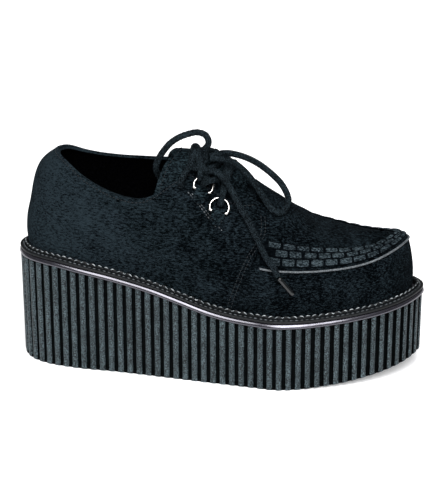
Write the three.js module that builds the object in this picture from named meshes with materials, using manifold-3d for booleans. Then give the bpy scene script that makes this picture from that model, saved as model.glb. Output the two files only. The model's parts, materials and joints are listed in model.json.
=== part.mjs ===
// A creeper shoe for the right foot: a low lace-up of black suede with an apron toe, standing on
// a tall platform sole with upright ribs. Sizes are millimetres. X runs from heel to toe, the
// outer side of the foot is at -Y and the inner side at +Y, and +Z is up. The origin is on the
// floor under the middle of the sole.

import * as THREE from 'three';
import { mergeVertices } from 'three/addons/utils/BufferGeometryUtils.js';
import Module from 'manifold-3d';

const wasm = await Module();
wasm.setup();

// Sizes of the sole
const SOLE_LENGTH = 268;      // tread of the sole on the floor, heel to toe
const BALL_WIDTH = 95;        // tread of the sole at the ball of the foot
const HEEL_HEIGHT = 77;       // floor to the top of the rim at the back of the heel
const TOE_SPRING = 12.7;      // lift of the tread under the tip of the toe
const SPRING_START = 0.65;    // share of the length where the tread leaves the floor
const WALL_FLARE = 0.012;     // how far the ribbed wall leans out for each millimetre of height
const RIM_PROUD = 1.6;        // rim beyond the tread
const RIM_HEIGHT = 3.2;       // thickness of the smooth rim layer
const RIB_PITCH = 6.4;        // from one rib to the next round the sole
const RIB_DEPTH = 1.6;        // depth of the grooves between the ribs
const TREAD_PITCH = 15;       // from one cross channel of the tread to the next
const TREAD_WIDTH = 3;        // width of a cross channel
const TREAD_DEPTH = 1.6;      // depth of a cross channel
const TREAD_MARGIN = 9;       // plain edge of the tread round its channels

// Sizes of the upper
const INSTEP_RISE = 90;       // sole top to the top of the last at the instep
const COLLAR_RISE = 69.5;     // sole top to the topline at the back of the heel
const LACING_GAP = 21.5;      // widest half gap between the two facings
const FEATHER_INSET = 6.2;    // foot of the upper inside the tread outline
const WALL = 1.7;             // wall of the upper
const QUARTER_WALL = 1.3;     // leather of the outer quarters
const BAND_WALL = 1.2;        // leather of the woven band
const BAND_WIDTH = 8.6;       // woven band, seen from above
const BAND_MARGIN = 1.3;      // clear strip between the piping and the woven band
const STRIP_RISE = 0.7;       // raised strips above the band
const STRIP_ROWS = 3;         // rows of raised strips
const STRIP_PITCH = 14;       // from one strip to the next along a row
const STRIP_LENGTH = 7.6;     // length of one raised strip
const STRIP_FILL = 0.8;       // share of its row that a raised strip fills
const STRIP_SEAT = 0.5;       // how far inside the band a raised strip is rooted
const PIPING_RADIUS = 0.8;    // cord in the apron seam
const TONGUE_WALL = 3.2;      // leather and padding of the tongue
const INSOLE_WALL = 3;

// Sizes of the welt
const WELT_WALL = 1.6;        // flat flange of the welt
const WELT_PROUD = 1.0;       // flange beyond the tread outline
const WELT_LIP = 1.1;         // thickness of the upright lip
const WELT_LIP_INSET = 3.8;   // inner face of the lip inside the tread outline
const WELT_LIP_RISE = 2.6;    // lip above the flange

// Sizes of the rings, their tabs and the lace
const RING_WIDTH = 14.5;      // D-ring across its straight bar, outside
const RING_WIRE = 2;          // wire of a ring
const BAR_SHARE = 0.45;       // straight bar below a ring's middle, share of its radius
const RING_STAND = 4.4;       // middle of the ring above the last
const TAB_WALL = 1.1;         // leather of a tab
const TAB_WIDTH = 8.6;        // tab along the ring's bar
const TAB_LENGTH = 9;         // tab behind the ring's bar
const LACE = 4;               // diameter of the lace
const KNOT_RADII = [7.2, 6.2, 5.4]; // half sizes of the knot
const AGLET_LENGTH = 15;      // stiff tip of a lace end
const AGLET_DIAMETER = 3.2;

// Clearance between neighbouring pieces
const GAP = 0.3;

// Resolution of the curved forms
const STATIONS = 24;          // steps of the last from heel to toe
const PROFILE_STEPS = 24;     // steps of the sole's side profile
const RING_POINTS = 74;       // points round the rim, the welt and the insole
const SEAM_STEPS = 18;        // measured steps of the apron seam on each side of the toe
const PIPING_SIDES = 5;       // flat faces round the piping
const PIPING_STEPS = 40;      // stretches of the piping
const WIRE_SIDES = 5;         // flat faces round the wire of a ring
const RING_STEPS = 14;        // stretches round a ring
const TAB_STEPS = 5;          // flat faces of a tab's fold
const BAND_STEPS = 12;        // stretches of the woven band on each side of the toe
const LACE_SIDES = 7;         // flat faces round the lace
const LACE_STEP = 9;          // longest straight stretch of a lace
const BAR_STEPS = 14;         // stretches of the lace between two rings
const OUTLINE_STEPS = 1600;   // measured steps of the sole's outline
const FEATHER_POINTS = 420;   // points round the foot of the upper
const FIELD_POINTS = 48;      // points round the field of the tread's channels
const COLLAR_STEPS = 30;      // steps of the topline
const KNOT_SIDES = 10;        // flat faces round the knot
const KNOT_RINGS = 7;         // flat faces of the knot from top to bottom
const SAME_POINT = 1e-4;      // points nearer than this are one
const TIP = 0.9995;           // share of the upper's length just short of the tip of the toe
const OVERCUT = 15;           // blocks and tools reach this far past the faces that trim them
const PAST_ENDS = 0.1;        // tools reach this share of the length past heel and toe
const FAR = 240;              // beyond every edge of the shoe, for cutting tools

// Half widths of the tread, as shares of half the ball width, along shares of the sole length
const SOLE_OUTLINE = [
  { share: 0.022, outer: 0.305, inner: 0.335 },
  { share: 0.069, outer: 0.495, inner: 0.52 },
  { share: 0.146, outer: 0.61, inner: 0.63 },
  { share: 0.257, outer: 0.675, inner: 0.68 },
  { share: 0.373, outer: 0.768, inner: 0.7 },
  { share: 0.485, outer: 0.865, inner: 0.775 },
  { share: 0.6, outer: 0.958, inner: 0.905 },
  { share: 0.655, outer: 1, inner: 0.965 },
  { share: 0.71, outer: 0.955, inner: 1 },
  { share: 0.769, outer: 0.862, inner: 0.985 },
  { share: 0.84, outer: 0.726, inner: 0.905 },
  { share: 0.925, outer: 0.474, inner: 0.7 },
  { share: 0.975, outer: 0.2, inner: 0.46 },
];

const TOE_TIP = 0.147;        // tip of the toe towards the inner side, share of half the ball width

// Where the tread has cross channels, in shares of the sole length
const TREAD_ZONES = [{ from: 0.06, to: 0.3 }, { from: 0.45, to: 0.9 }];

// Top of the rim, as shares of the heel height, along shares of the sole length
const SOLE_TOP = [
  { share: 0, height: 1 },
  { share: 0.093, height: 0.989 },
  { share: 0.183, height: 0.941 },
  { share: 0.261, height: 0.89 },
  { share: 0.343, height: 0.828 },
  { share: 0.418, height: 0.752 },
  { share: 0.485, height: 0.683 },
  { share: 0.541, height: 0.646 },
  { share: 0.6, height: 0.628 },
  { share: 0.653, height: 0.623 },
  { share: 0.735, height: 0.627 },
  { share: 0.81, height: 0.645 },
  { share: 0.892, height: 0.675 },
  { share: 0.94, height: 0.7 },
  { share: 1, height: 0.735 },
];

// Cross sections of the last along shares of the upper's length. Low and high are the rises of its
// shoulder and of its crown, and ridge is the rise of its top, as shares of the instep rise above
// the sole. LowWide and highWide are the widths there, as shares of the width at the foot.
const LAST_SECTIONS = [
  { share: 0, low: 0.344, lowWide: 1, high: 0.678, highWide: 0.95, ridge: 0.811 },
  { share: 0.1, low: 0.344, lowWide: 1.06, high: 0.7, highWide: 0.93, ridge: 0.833 },
  { share: 0.25, low: 0.356, lowWide: 1.02, high: 0.733, highWide: 0.86, ridge: 0.906 },
  { share: 0.4, low: 0.367, lowWide: 0.98, high: 0.756, highWide: 0.74, ridge: 1 },
  { share: 0.5, low: 0.4, lowWide: 0.98, high: 0.733, highWide: 0.68, ridge: 0.978 },
  { share: 0.6, low: 0.39, lowWide: 0.97, high: 0.656, highWide: 0.64, ridge: 0.85 },
  { share: 0.7, low: 0.365, lowWide: 0.94, high: 0.585, highWide: 0.615, ridge: 0.712 },
  { share: 0.8, low: 0.347, lowWide: 0.94, high: 0.494, highWide: 0.615, ridge: 0.55 },
  { share: 0.9, low: 0.345, lowWide: 0.94, high: 0.432, highWide: 0.59, ridge: 0.476 },
  { share: 1, low: 0.395, lowWide: 0.94, high: 0.413, highWide: 0.57, ridge: 0.436 },
];
const WALL_BULGE = 1.01;      // width halfway up to the shoulder, share of the foot's half width

// How far the back of the heel and the tip of the toe lie from the foot of the upper at each of
// the five levels, as shares of the instep rise
const LAST_LEVELS = [
  { name: 'feather', heel: 0, toe: 0 },
  { name: 'wall', heel: -0.009, toe: -0.003 },
  { name: 'shoulder', heel: 0.018, toe: -0.044 },
  { name: 'crown', heel: 0.122, toe: -0.1 },
  { name: 'ridge', heel: 0.444, toe: -0.256 },
];
const SHOULDER = 2;           // level number of the apron seam
const RIDGE = 4;              // level number of the ridge
const LEVEL_STEPS = [0, 0.7, 1.4, 1.75, 2.05, 2.4, 2.8, 3.2, 3.6, RIDGE];

// The ridge of the last leans to the inner side, in shares of half the ball width
const RIDGE_LINE = [
  { share: 0, lean: 0 },
  { share: 0.3, lean: 0.032 },
  { share: 0.6, lean: 0.095 },
  { share: 1, lean: 0.147 },
];

// Topline above the heel height, as shares of the collar rise, along shares of the sole length
const TOPLINE = [
  { share: -0.05, outer: 1, inner: 1 },
  { share: 0.08, outer: 1, inner: 1 },
  { share: 0.112, outer: 0.98, inner: 0.94 },
  { share: 0.135, outer: 0.94, inner: 0.892 },
  { share: 0.179, outer: 0.83, inner: 0.845 },
  { share: 0.22, outer: 0.745, inner: 0.826 },
  { share: 0.255, outer: 0.69, inner: 0.82 },
  { share: 0.285, outer: 0.662, inner: 0.821 },
  { share: 0.315, outer: 0.655, inner: 0.824 },
  { share: 0.345, outer: 0.69, inner: 0.83 },
  { share: 0.38, outer: 0.77, inner: 0.848 },
  { share: 0.415, outer: 0.85, inner: 0.875 },
  { share: 0.45, outer: 0.92, inner: 0.925 },
  { share: 0.52, outer: 1.05, inner: 1.05 },
];

// Half width of the opening down the instep, in the upper and between the two facings, as shares
// of the lacing gap, along shares of the sole length
const THROAT = [
  { share: 0.36, upper: 0.62, facing: 0.72 },
  { share: 0.44, upper: 0.65, facing: 0.8 },
  { share: 0.49, upper: 0.74, facing: 0.93 },
  { share: 0.535, upper: 0.72, facing: 1 },
  { share: 0.567, upper: 0.5, facing: 0.92 },
  { share: 0.588, upper: 0.02, facing: 0.8 },
  { share: 0.66, upper: 0, facing: 0.76 },
];

// Front edge of the facings, seen from the side: rises are shares of the instep rise above the
// heel height, and along are shares of the sole length
const FACING_FRONT = [
  { rise: 0.62, along: 0.622 },
  { rise: 0.4, along: 0.624 },
  { rise: 0.28, along: 0.63 },
  { rise: 0.21, along: 0.617 },
  { rise: 0.11, along: 0.597 },
  { rise: -0.065, along: 0.574 },
  { rise: -0.235, along: 0.556 },
  { rise: -0.4, along: 0.545 },
];

// Outline of the tongue, seen from the side, in shares of the sole length and of the instep rise
// above the heel height
const TONGUE_OUTLINE = [
  { along: 0.329, rise: 0.3 },
  { along: 0.366, rise: 0.72 },
  { along: 0.38, rise: 1 },
  { along: 0.615, rise: 1 },
  { along: 0.615, rise: 0.36 },
  { along: 0.5, rise: 0.28 },
];

// Where the rings sit on the last: share of the upper's length and level
const RING_PLACES = [
  { name: 'top', share: 0.448, level: 3.22 },
  { name: 'lower', share: 0.503, level: 2.985 },
];

// Share of the upper's length where the apron seam runs out under the facings
const APRON_START = 0.625;
const BAND_START = 0.6;       // the band is drawn from a little farther back and cut at the facings

const OUTER = -1;
const INNER = 1;

// Value of one column of a table at a share along it, on a smooth curve through the rows
function smooth(rows, column, share) {
  const last = rows.length - 1;
  const s = Math.min(Math.max(share, rows[0].share), rows[last].share);
  let k = 0;
  while (k < last - 1 && rows[k + 1].share < s) k += 1;
  const slope = (i) => {
    const a = rows[Math.max(i - 1, 0)];
    const b = rows[Math.min(i + 1, last)];
    return (b[column] - a[column]) / (b.share - a.share);
  };
  const step = rows[k + 1].share - rows[k].share;
  const t = (s - rows[k].share) / step;
  const rise = rows[k + 1][column] - rows[k][column];
  const out = t * (1 - t) * (1 - t) * slope(k) * step - t * t * (1 - t) * slope(k + 1) * step;
  return rows[k][column] + rise * t * t * (3 - 2 * t) + out;
}

const fromHeel = (share) => (share - 0.5) * SOLE_LENGTH;
const shareAt = (x) => x / SOLE_LENGTH + 0.5;
const soleTop = (x) => HEEL_HEIGHT * smooth(SOLE_TOP, 'height', shareAt(x));

// Underside of the sole: flat on the floor, then sprung up towards the toe
function treadHeight(x) {
  const past = Math.max(0, (shareAt(x) - SPRING_START) / (1 - SPRING_START));
  return TOE_SPRING * past * past;
}

// Outline of the tread, seen from above, running from the heel along the outer side
function makeOutlineCurve() {
  const half = BALL_WIDTH / 2;
  const outer = SOLE_OUTLINE.map((r) => new THREE.Vector3(fromHeel(r.share), OUTER * r.outer * half, 0));
  const inner = SOLE_OUTLINE.map((r) => new THREE.Vector3(fromHeel(r.share), INNER * r.inner * half, 0));
  const heel = new THREE.Vector3(fromHeel(0), 0, 0);
  const toe = new THREE.Vector3(fromHeel(1), TOE_TIP * half, 0);
  const curve = new THREE.CatmullRomCurve3([heel, ...outer, toe, ...inner.reverse()], true);
  curve.arcLengthDivisions = OUTLINE_STEPS;
  return curve;
}

const outlineCurve = makeOutlineCurve();

// A point of the outline, moved out by grow, at a share of the way round
function outlinePoint(share, grow) {
  const point = outlineCurve.getPointAt(share % 1);
  const along = outlineCurve.getTangentAt(share % 1);
  return new THREE.Vector3(point.x + along.y * grow, point.y - along.x * grow, 0);
}

function outlineRing(grow, count = RING_POINTS) {
  return Array.from({ length: count }, (_, i) => outlinePoint(i / count, grow));
}

// Triangles that fill a closed ring of points seen from above, counterclockwise
function fillRing(ring) {
  const flat = ring.map((p) => new THREE.Vector2(p.x, p.y));
  const faces = THREE.ShapeUtils.triangulateShape(flat, []);
  return faces.map(([a, b, c]) => {
    const ab = flat[b].clone().sub(flat[a]);
    const ac = flat[c].clone().sub(flat[a]);
    return ab.cross(ac) > 0 ? [a, b, c] : [a, c, b];
  });
}

function fromPoints(points, faces) {
  const geometry = new THREE.BufferGeometry();
  geometry.setAttribute('position', new THREE.Float32BufferAttribute(points.flatMap((p) => p.toArray()), 3));
  geometry.setIndex(faces.flat());
  return geometry;
}

// Skin between rings of as many points each, listed from low to high and counterclockwise from
// above, without its two ends
function ringSkin(rings, closed = false) {
  const count = rings[0].length;
  const faces = [];
  const pairs = closed ? rings.length : rings.length - 1;
  for (let r = 0; r < pairs; r += 1) {
    const low = r * count;
    const high = ((r + 1) % rings.length) * count;
    for (let i = 0; i < count; i += 1) {
      const j = (i + 1) % count;
      faces.push([low + i, low + j, high + j], [low + i, high + j, high + i]);
    }
  }
  return faces;
}

// Closed solid between two level rings
function upright(low, high) {
  const faces = ringSkin([low, high]);
  const cap = fillRing(low);
  cap.forEach(([a, b, c]) => faces.push([a, c, b]));
  cap.forEach(([a, b, c]) => faces.push([a + low.length, b + low.length, c + low.length]));
  return fromPoints([...low, ...high], faces);
}

const lifted = (ring, z) => ring.map((p) => new THREE.Vector3(p.x, p.y, z));
const planPrism = (ring, low, high) => upright(lifted(ring, low), lifted(ring, high));

// Solid whose outline is drawn in the XZ plane, running from one Y to another
function sidePrism(outline, from, to) {
  const shape = new THREE.Shape(outline.map((p) => new THREE.Vector2(p.x, p.z)));
  const geometry = new THREE.ExtrudeGeometry(shape, { depth: to - from, bevelEnabled: false });
  geometry.rotateX(Math.PI / 2);
  geometry.translate(0, to, 0);
  return geometry;
}

// Cutting and joining
function toSolid(source) {
  const geometry = source.clone();
  geometry.deleteAttribute('normal');
  geometry.deleteAttribute('uv');
  const merged = mergeVertices(geometry, SAME_POINT);
  return new wasm.Manifold(new wasm.Mesh({
    numProp: 3,
    vertProperties: new Float32Array(merged.getAttribute('position').array),
    triVerts: new Uint32Array(merged.getIndex().array),
  }));
}

function toGeometry(solid) {
  const mesh = solid.getMesh();
  const geometry = new THREE.BufferGeometry();
  geometry.setAttribute('position', new THREE.BufferAttribute(new Float32Array(mesh.vertProperties), 3));
  geometry.setIndex(new THREE.BufferAttribute(new Uint32Array(mesh.triVerts), 1));
  return geometry;
}

const joined = (solids) => solids.reduce((sum, next) => sum.add(next));

// The largest body of a solid, without the specks and pockets that thin cuts leave
function mainBody(solid) {
  return solid.decompose().reduce((best, next) => (next.volume() > best.volume() ? next : best));
}

// Everything between two heights that both follow the sole's profile
function profileSlab(low, high) {
  const ends = { from: fromHeel(-PAST_ENDS), to: fromHeel(1 + PAST_ENDS) };
  const steps = Array.from({ length: PROFILE_STEPS + 1 }, (_, i) => (
    THREE.MathUtils.lerp(ends.from, ends.to, i / PROFILE_STEPS)));
  const bottom = steps.map((x) => ({ x, z: low(x) }));
  const top = steps.map((x) => ({ x, z: high(x) })).reverse();
  return toSolid(sidePrism([...bottom, ...top], -BALL_WIDTH, BALL_WIDTH));
}

// Sole
const ribProfile = [
  { along: 0, depth: 0 },
  { along: 0.52, depth: 0 },
  { along: 0.76, depth: 1 },
];

function ribbedRing(z) {
  const ribs = Math.round(outlineCurve.getLength() / RIB_PITCH);
  const ring = [];
  for (let i = 0; i < ribs; i += 1) {
    for (const corner of ribProfile) {
      const point = outlinePoint((i + corner.along) / ribs, z * WALL_FLARE - corner.depth * RIB_DEPTH);
      ring.push(new THREE.Vector3(point.x, point.y, z));
    }
  }
  return ring;
}

// Cross channels of the tread, at the heel and under the ball, with a plain waist between
function treadChannels() {
  const bars = [];
  for (const zone of TREAD_ZONES) {
    const count = Math.floor(((zone.to - zone.from) * SOLE_LENGTH) / TREAD_PITCH);
    for (let i = 0; i <= count; i += 1) {
      const x = fromHeel(zone.from) + i * TREAD_PITCH;
      const bar = new THREE.BoxGeometry(TREAD_WIDTH, BALL_WIDTH * 2, TREAD_DEPTH * 4);
      bar.translate(x, 0, treadHeight(x) - TREAD_DEPTH);
      bars.push(toSolid(bar));
    }
  }
  const field = toSolid(planPrism(outlineRing(-TREAD_MARGIN, FIELD_POINTS), -HEEL_HEIGHT, HEEL_HEIGHT));
  return joined(bars).intersect(field);
}

function makeOutsole() {
  const block = toSolid(upright(ribbedRing(-OVERCUT), ribbedRing(HEEL_HEIGHT + OVERCUT)));
  const body = block.intersect(profileSlab(treadHeight, (x) => soleTop(x) - RIM_HEIGHT - GAP));
  return toGeometry(body.subtract(treadChannels()));
}

function makeRim() {
  const block = toSolid(planPrism(outlineRing(RIM_PROUD), 0, FAR));
  return toGeometry(block.intersect(profileSlab((x) => soleTop(x) - RIM_HEIGHT, soleTop)));
}

// The welt is a flat flange with an upright lip along the foot of the upper
const weltSection = [
  { out: WELT_PROUD, up: 0 },
  { out: WELT_PROUD, up: WELT_WALL },
  { out: WELT_LIP - WELT_LIP_INSET, up: WELT_WALL },
  { out: WELT_LIP - WELT_LIP_INSET, up: WELT_WALL + WELT_LIP_RISE },
  { out: -WELT_LIP_INSET, up: WELT_WALL + WELT_LIP_RISE },
  { out: -WELT_LIP_INSET, up: 0 },
];

function makeWelt() {
  const rings = weltSection.map(({ out, up }) => outlineRing(out).map((p) => (
    new THREE.Vector3(p.x, p.y, soleTop(p.x) + GAP + up))));
  return fromPoints(rings.flat(), ringSkin(rings, true));
}

// Last: the form inside the shoe, from which the upper and its overlays are cut
const featherRing = outlineRing(-FEATHER_INSET, FEATHER_POINTS);
const featherHeel = Math.min(...featherRing.map((p) => p.x));
const featherToe = Math.max(...featherRing.map((p) => p.x));

// Y of the foot of the upper at X, on one side
function featherEdge(x, side) {
  const crossings = [];
  featherRing.forEach((p, i) => {
    const q = featherRing[(i + 1) % featherRing.length];
    if ((p.x - x) * (q.x - x) > 0 || p.x === q.x) return;
    crossings.push(THREE.MathUtils.lerp(p.y, q.y, (x - p.x) / (q.x - p.x)));
  });
  return side === OUTER ? Math.min(...crossings) : Math.max(...crossings);
}

// Smooth curve through five level values, with a value beyond each end to set its slope there
function acrossLevels(values, level, before, after) {
  const all = [before, ...values, after];
  const k = Math.min(Math.floor(level), values.length - 2);
  const t = level - k;
  const [a, b, c, d] = all.slice(k, k + 4);
  const cubic = -a + 3 * b - 3 * c + d;
  const square = 2 * a - 5 * b + 4 * c - d;
  return 0.5 * (2 * b + (c - a) * t + square * t * t + cubic * t * t * t);
}

const ridgeY = (share) => smooth(RIDGE_LINE, 'lean', share) * (BALL_WIDTH / 2);

// Point of the last at a share of its length, a level from foot to ridge, and a side
function lastPoint(share, level, side) {
  const footX = THREE.MathUtils.lerp(featherHeel, featherToe, share);
  const section = (column) => smooth(LAST_SECTIONS, column, share);
  const shoulder = section('low');
  const rises = [0, shoulder / 2, shoulder, section('high'), section('ridge')];
  const widths = [1, WALL_BULGE, section('lowWide'), section('highWide'), 0];
  const heels = LAST_LEVELS.map((row) => row.heel);
  const toes = LAST_LEVELS.map((row) => row.toe);
  const rise = acrossLevels(rises, level, -rises[1], rises[3]) * INSTEP_RISE;
  const width = acrossLevels(widths, level, WALL_BULGE, -widths[3]);
  const heelShift = acrossLevels(heels, level, heels[1], 2 * heels[4] - heels[3]) * INSTEP_RISE;
  const toeShift = acrossLevels(toes, level, toes[1], 2 * toes[4] - toes[3]) * INSTEP_RISE;
  const edge = featherEdge(footX, side);
  const middle = share > 0 && share < 1 ? ridgeY(share) : edge;
  return new THREE.Vector3(
    THREE.MathUtils.lerp(featherHeel + heelShift, featherToe + toeShift, share),
    middle + (edge - middle) * width,
    soleTop(footX) + rise,
  );
}

// Frame on the last: a point, the way out of the surface and the way up it
function lastFrame(share, level, side) {
  const step = 0.01;
  const point = lastPoint(share, level, side);
  const up = lastPoint(share, level + step, side).sub(point).normalize();
  const along = share + step < 1
    ? lastPoint(share + step, level, side).sub(point).normalize()
    : point.clone().sub(lastPoint(share - step, level, side)).normalize();
  const out = new THREE.Vector3().crossVectors(along, up).multiplyScalar(-side).normalize();
  return { point, up, out };
}

function makeLastGrid() {
  const stations = Array.from({ length: STATIONS + 1 }, (_, j) => (
    0.5 * (1 - Math.cos((Math.PI * j) / STATIONS))));
  const ringAt = (level, drop) => {
    const outer = stations.map((share) => lastPoint(share, level, OUTER));
    const inner = stations.slice(1, -1).reverse().map((share) => lastPoint(share, level, INNER));
    return [...outer, ...inner].map((p) => new THREE.Vector3(p.x, p.y, p.z - drop));
  };
  const rings = [ringAt(0, SHOULDER * FEATHER_INSET), ...LEVEL_STEPS.map((level) => ringAt(level, 0))];
  const faces = ringSkin(rings);
  const count = rings[0].length;
  for (let j = 0; j < STATIONS; j += 1) {
    const inner = (count - j) % count;
    faces.push([j, inner, count - j - 1], [j, count - j - 1, j + 1]);
  }
  const geometry = mergeVertices(fromPoints(rings.flat(), faces), 10 * SAME_POINT);
  geometry.computeVertexNormals();
  return geometry;
}

const lastGrid = makeLastGrid();

// The last as a closed solid, grown outwards along its surface
function lastSolid(grow) {
  const geometry = lastGrid.clone();
  const position = geometry.getAttribute('position');
  const normal = geometry.getAttribute('normal');
  for (let i = 0; i < position.count; i += 1) {
    position.setXYZ(
      i,
      position.getX(i) + normal.getX(i) * grow,
      position.getY(i) + normal.getY(i) * grow,
      position.getZ(i) + normal.getZ(i) * grow,
    );
  }
  return toSolid(geometry);
}

const shell = (inner, outer) => lastSolid(outer).subtract(lastSolid(inner));

// Cutting tools shared by the upper and its quarters
const toplineZ = (row, side) => HEEL_HEIGHT + COLLAR_RISE * (side === OUTER ? row.outer : row.inner);

function halfPrism(outline, side, from = 0) {
  return side === OUTER ? sidePrism(outline, -BALL_WIDTH, -from) : sidePrism(outline, from, BALL_WIDTH);
}

function collarCut(side) {
  const first = TOPLINE[0].share;
  const last = TOPLINE[TOPLINE.length - 1].share;
  const column = side === OUTER ? 'outer' : 'inner';
  const edge = Array.from({ length: COLLAR_STEPS + 1 }, (_, i) => {
    const share = THREE.MathUtils.lerp(first, last, i / COLLAR_STEPS);
    return { x: fromHeel(share), z: toplineZ({ [column]: smooth(TOPLINE, column, share) }, side) };
  });
  const outline = [...edge, { x: fromHeel(last), z: FAR }, { x: fromHeel(first), z: FAR }];
  return toSolid(halfPrism(outline, side));
}

function throatCut(column) {
  const upperShare = (x) => (x - featherHeel) / (featherToe - featherHeel);
  const open = THROAT.filter((row) => row[column] > 0);
  const edge = (side) => open.map((row) => {
    const x = fromHeel(row.share);
    return new THREE.Vector3(x, ridgeY(upperShare(x)) + side * row[column] * LACING_GAP, 0);
  });
  return toSolid(planPrism([...edge(OUTER), ...edge(INNER).reverse()], HEEL_HEIGHT, FAR));
}

const collarOpening = collarCut(OUTER).add(collarCut(INNER));
const aboveSole = profileSlab((x) => soleTop(x) + GAP, () => FAR);

function makeUpper() {
  const opened = shell(-WALL, 0).intersect(aboveSole).subtract(collarOpening);
  return toGeometry(opened.subtract(throatCut('upper')));
}

// Region of one quarter: from the back seam to the front edge of its facing, or that much past it
function quarterRegion(side, past = 0) {
  const front = FACING_FRONT.map((row) => (
    { x: fromHeel(row.along) + past, z: HEEL_HEIGHT + row.rise * INSTEP_RISE }));
  const back = fromHeel(-PAST_ENDS);
  const outline = [{ x: back, z: FAR }, { x: back, z: 0 }, { x: front[front.length - 1].x, z: 0 }];
  outline.push(...front.reverse(), { x: front[front.length - 1].x, z: FAR });
  return toSolid(halfPrism(outline, side, GAP / 2));
}

function makeQuarters() {
  const skin = shell(GAP, GAP + QUARTER_WALL).intersect(aboveSole).subtract(collarOpening);
  const opened = skin.subtract(throatCut('facing'));
  return {
    outer: toGeometry(opened.intersect(quarterRegion(OUTER))),
    inner: toGeometry(opened.intersect(quarterRegion(INNER))),
  };
}

function makeTongue() {
  const outline = TONGUE_OUTLINE.map((row) => (
    { x: fromHeel(row.along), z: HEEL_HEIGHT + row.rise * INSTEP_RISE }));
  const sheet = shell(-WALL - GAP - TONGUE_WALL, -WALL - GAP);
  return toGeometry(sheet.intersect(toSolid(sidePrism(outline, -BALL_WIDTH, BALL_WIDTH))));
}

function makeInsole() {
  const block = toSolid(planPrism(outlineRing(-FEATHER_INSET - WALL - 4 * GAP), 0, FAR));
  const seat = (x) => soleTop(x) + GAP;
  return toGeometry(block.intersect(profileSlab(seat, (x) => seat(x) + INSOLE_WALL)));
}

// Apron seam: the shoulder of the last from one facing round the toe to the other
function apronPoints(steps, level, out, start = APRON_START) {
  return Array.from({ length: 2 * steps + 1 }, (_, i) => {
    const t = Math.abs(i / steps - 1);
    const share = 1 - (1 - start) * (1 - Math.cos((t * Math.PI) / 2));
    const frame = lastFrame(Math.min(share, TIP), level, i <= steps ? OUTER : INNER);
    return frame.point.addScaledVector(frame.out, out);
  });
}

function sweptTube(points, radius, sides, steps) {
  const circle = new THREE.Shape();
  for (let i = 0; i < sides; i += 1) {
    const turn = (2 * Math.PI * i) / sides;
    const corner = [radius * Math.cos(turn), radius * Math.sin(turn)];
    if (i === 0) circle.moveTo(...corner);
    else circle.lineTo(...corner);
  }
  circle.closePath();
  const path = new THREE.CatmullRomCurve3(points, false, 'centripetal');
  return new THREE.ExtrudeGeometry(circle, { steps, extrudePath: path, bevelEnabled: false });
}

function makePiping() {
  const points = apronPoints(SEAM_STEPS, SHOULDER, 2 * GAP + PIPING_RADIUS);
  return sweptTube(points, PIPING_RADIUS, PIPING_SIDES, PIPING_STEPS);
}

// A line seen from above, moved sideways towards the middle of the toe
function insetLine(points, inset) {
  return points.map((p, i) => {
    const a = points[Math.max(i - 1, 0)];
    const b = points[Math.min(i + 1, points.length - 1)];
    const along = new THREE.Vector3(b.x - a.x, b.y - a.y, 0).normalize();
    return new THREE.Vector3(p.x - along.y * inset, p.y + along.x * inset, 0);
  });
}

// One raised strip, standing on the last between two points of a line seen from above
function stripOnBand(from, to, rowWidth) {
  const middle = from.clone().lerp(to, 0.5);
  const along = new THREE.Vector3().subVectors(to, from).normalize();
  const across = new THREE.Vector3(-along.y, along.x, 0);
  const spot = surfaceUnder(middle);
  const out = spot.out;
  const lie = along.clone().addScaledVector(out, -along.dot(out)).normalize();
  const side = new THREE.Vector3().crossVectors(out, lie);
  const width = (rowWidth * STRIP_FILL) / Math.abs(side.dot(across));
  const bar = new THREE.BoxGeometry(STRIP_LENGTH, width, BAND_WALL + STRIP_RISE - STRIP_SEAT);
  const middleHeight = GAP + (BAND_WALL + STRIP_RISE + STRIP_SEAT) / 2;
  bar.applyMatrix4(new THREE.Matrix4().makeBasis(lie, side, out)
    .setPosition(spot.point.addScaledVector(out, middleHeight)));
  return bar;
}

// Point of the last straight below a point seen from above, and the way out of the surface there
function surfaceUnder(plan) {
  const ray = new THREE.Raycaster(new THREE.Vector3(plan.x, plan.y, FAR), new THREE.Vector3(0, 0, -1));
  const hit = ray.intersectObject(new THREE.Mesh(lastGrid))[0];
  return { point: hit.point, out: hit.face.normal.clone() };
}

// Raised strips of the weave: short bars lying along the band, staggered from row to row
function wovenStrips() {
  const seam = new THREE.CatmullRomCurve3(apronPoints(SEAM_STEPS, SHOULDER, 0));
  const count = Math.floor(seam.getLength() / STRIP_PITCH);
  const rowWidth = BAND_WIDTH / STRIP_ROWS;
  const bars = [];
  for (let row = 0; row < STRIP_ROWS; row += 1) {
    const line = insetLine(seam.getSpacedPoints(count * 2), BAND_MARGIN + (row + 0.5) * rowWidth);
    for (let i = 2 + (row % 2); i < line.length - 3; i += 2) {
      bars.push(toSolid(stripOnBand(line[i], line[i + 1], rowWidth)));
    }
  }
  return joined(bars);
}

// Band: a strip of the last's own skin beside the piping, with its raised strips on top
function makeBand() {
  const seam = apronPoints(BAND_STEPS, SHOULDER, 0, BAND_START);
  const near = insetLine(seam, BAND_MARGIN);
  const far = insetLine(seam, BAND_MARGIN + BAND_WIDTH).reverse();
  const strip = toSolid(planPrism([...near, ...far], 0, FAR));
  const base = shell(GAP, GAP + BAND_WALL).intersect(strip);
  const behind = quarterRegion(OUTER, 2 * GAP).add(quarterRegion(INNER, 2 * GAP));
  return toGeometry(mainBody(base.add(wovenStrips()).intersect(aboveSole).subtract(behind)));
}

// D-ring: a round ring with one side flattened to a straight bar
const ringRadius = (RING_WIDTH - RING_WIRE) / 2;
const barDrop = ringRadius * BAR_SHARE;

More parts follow.
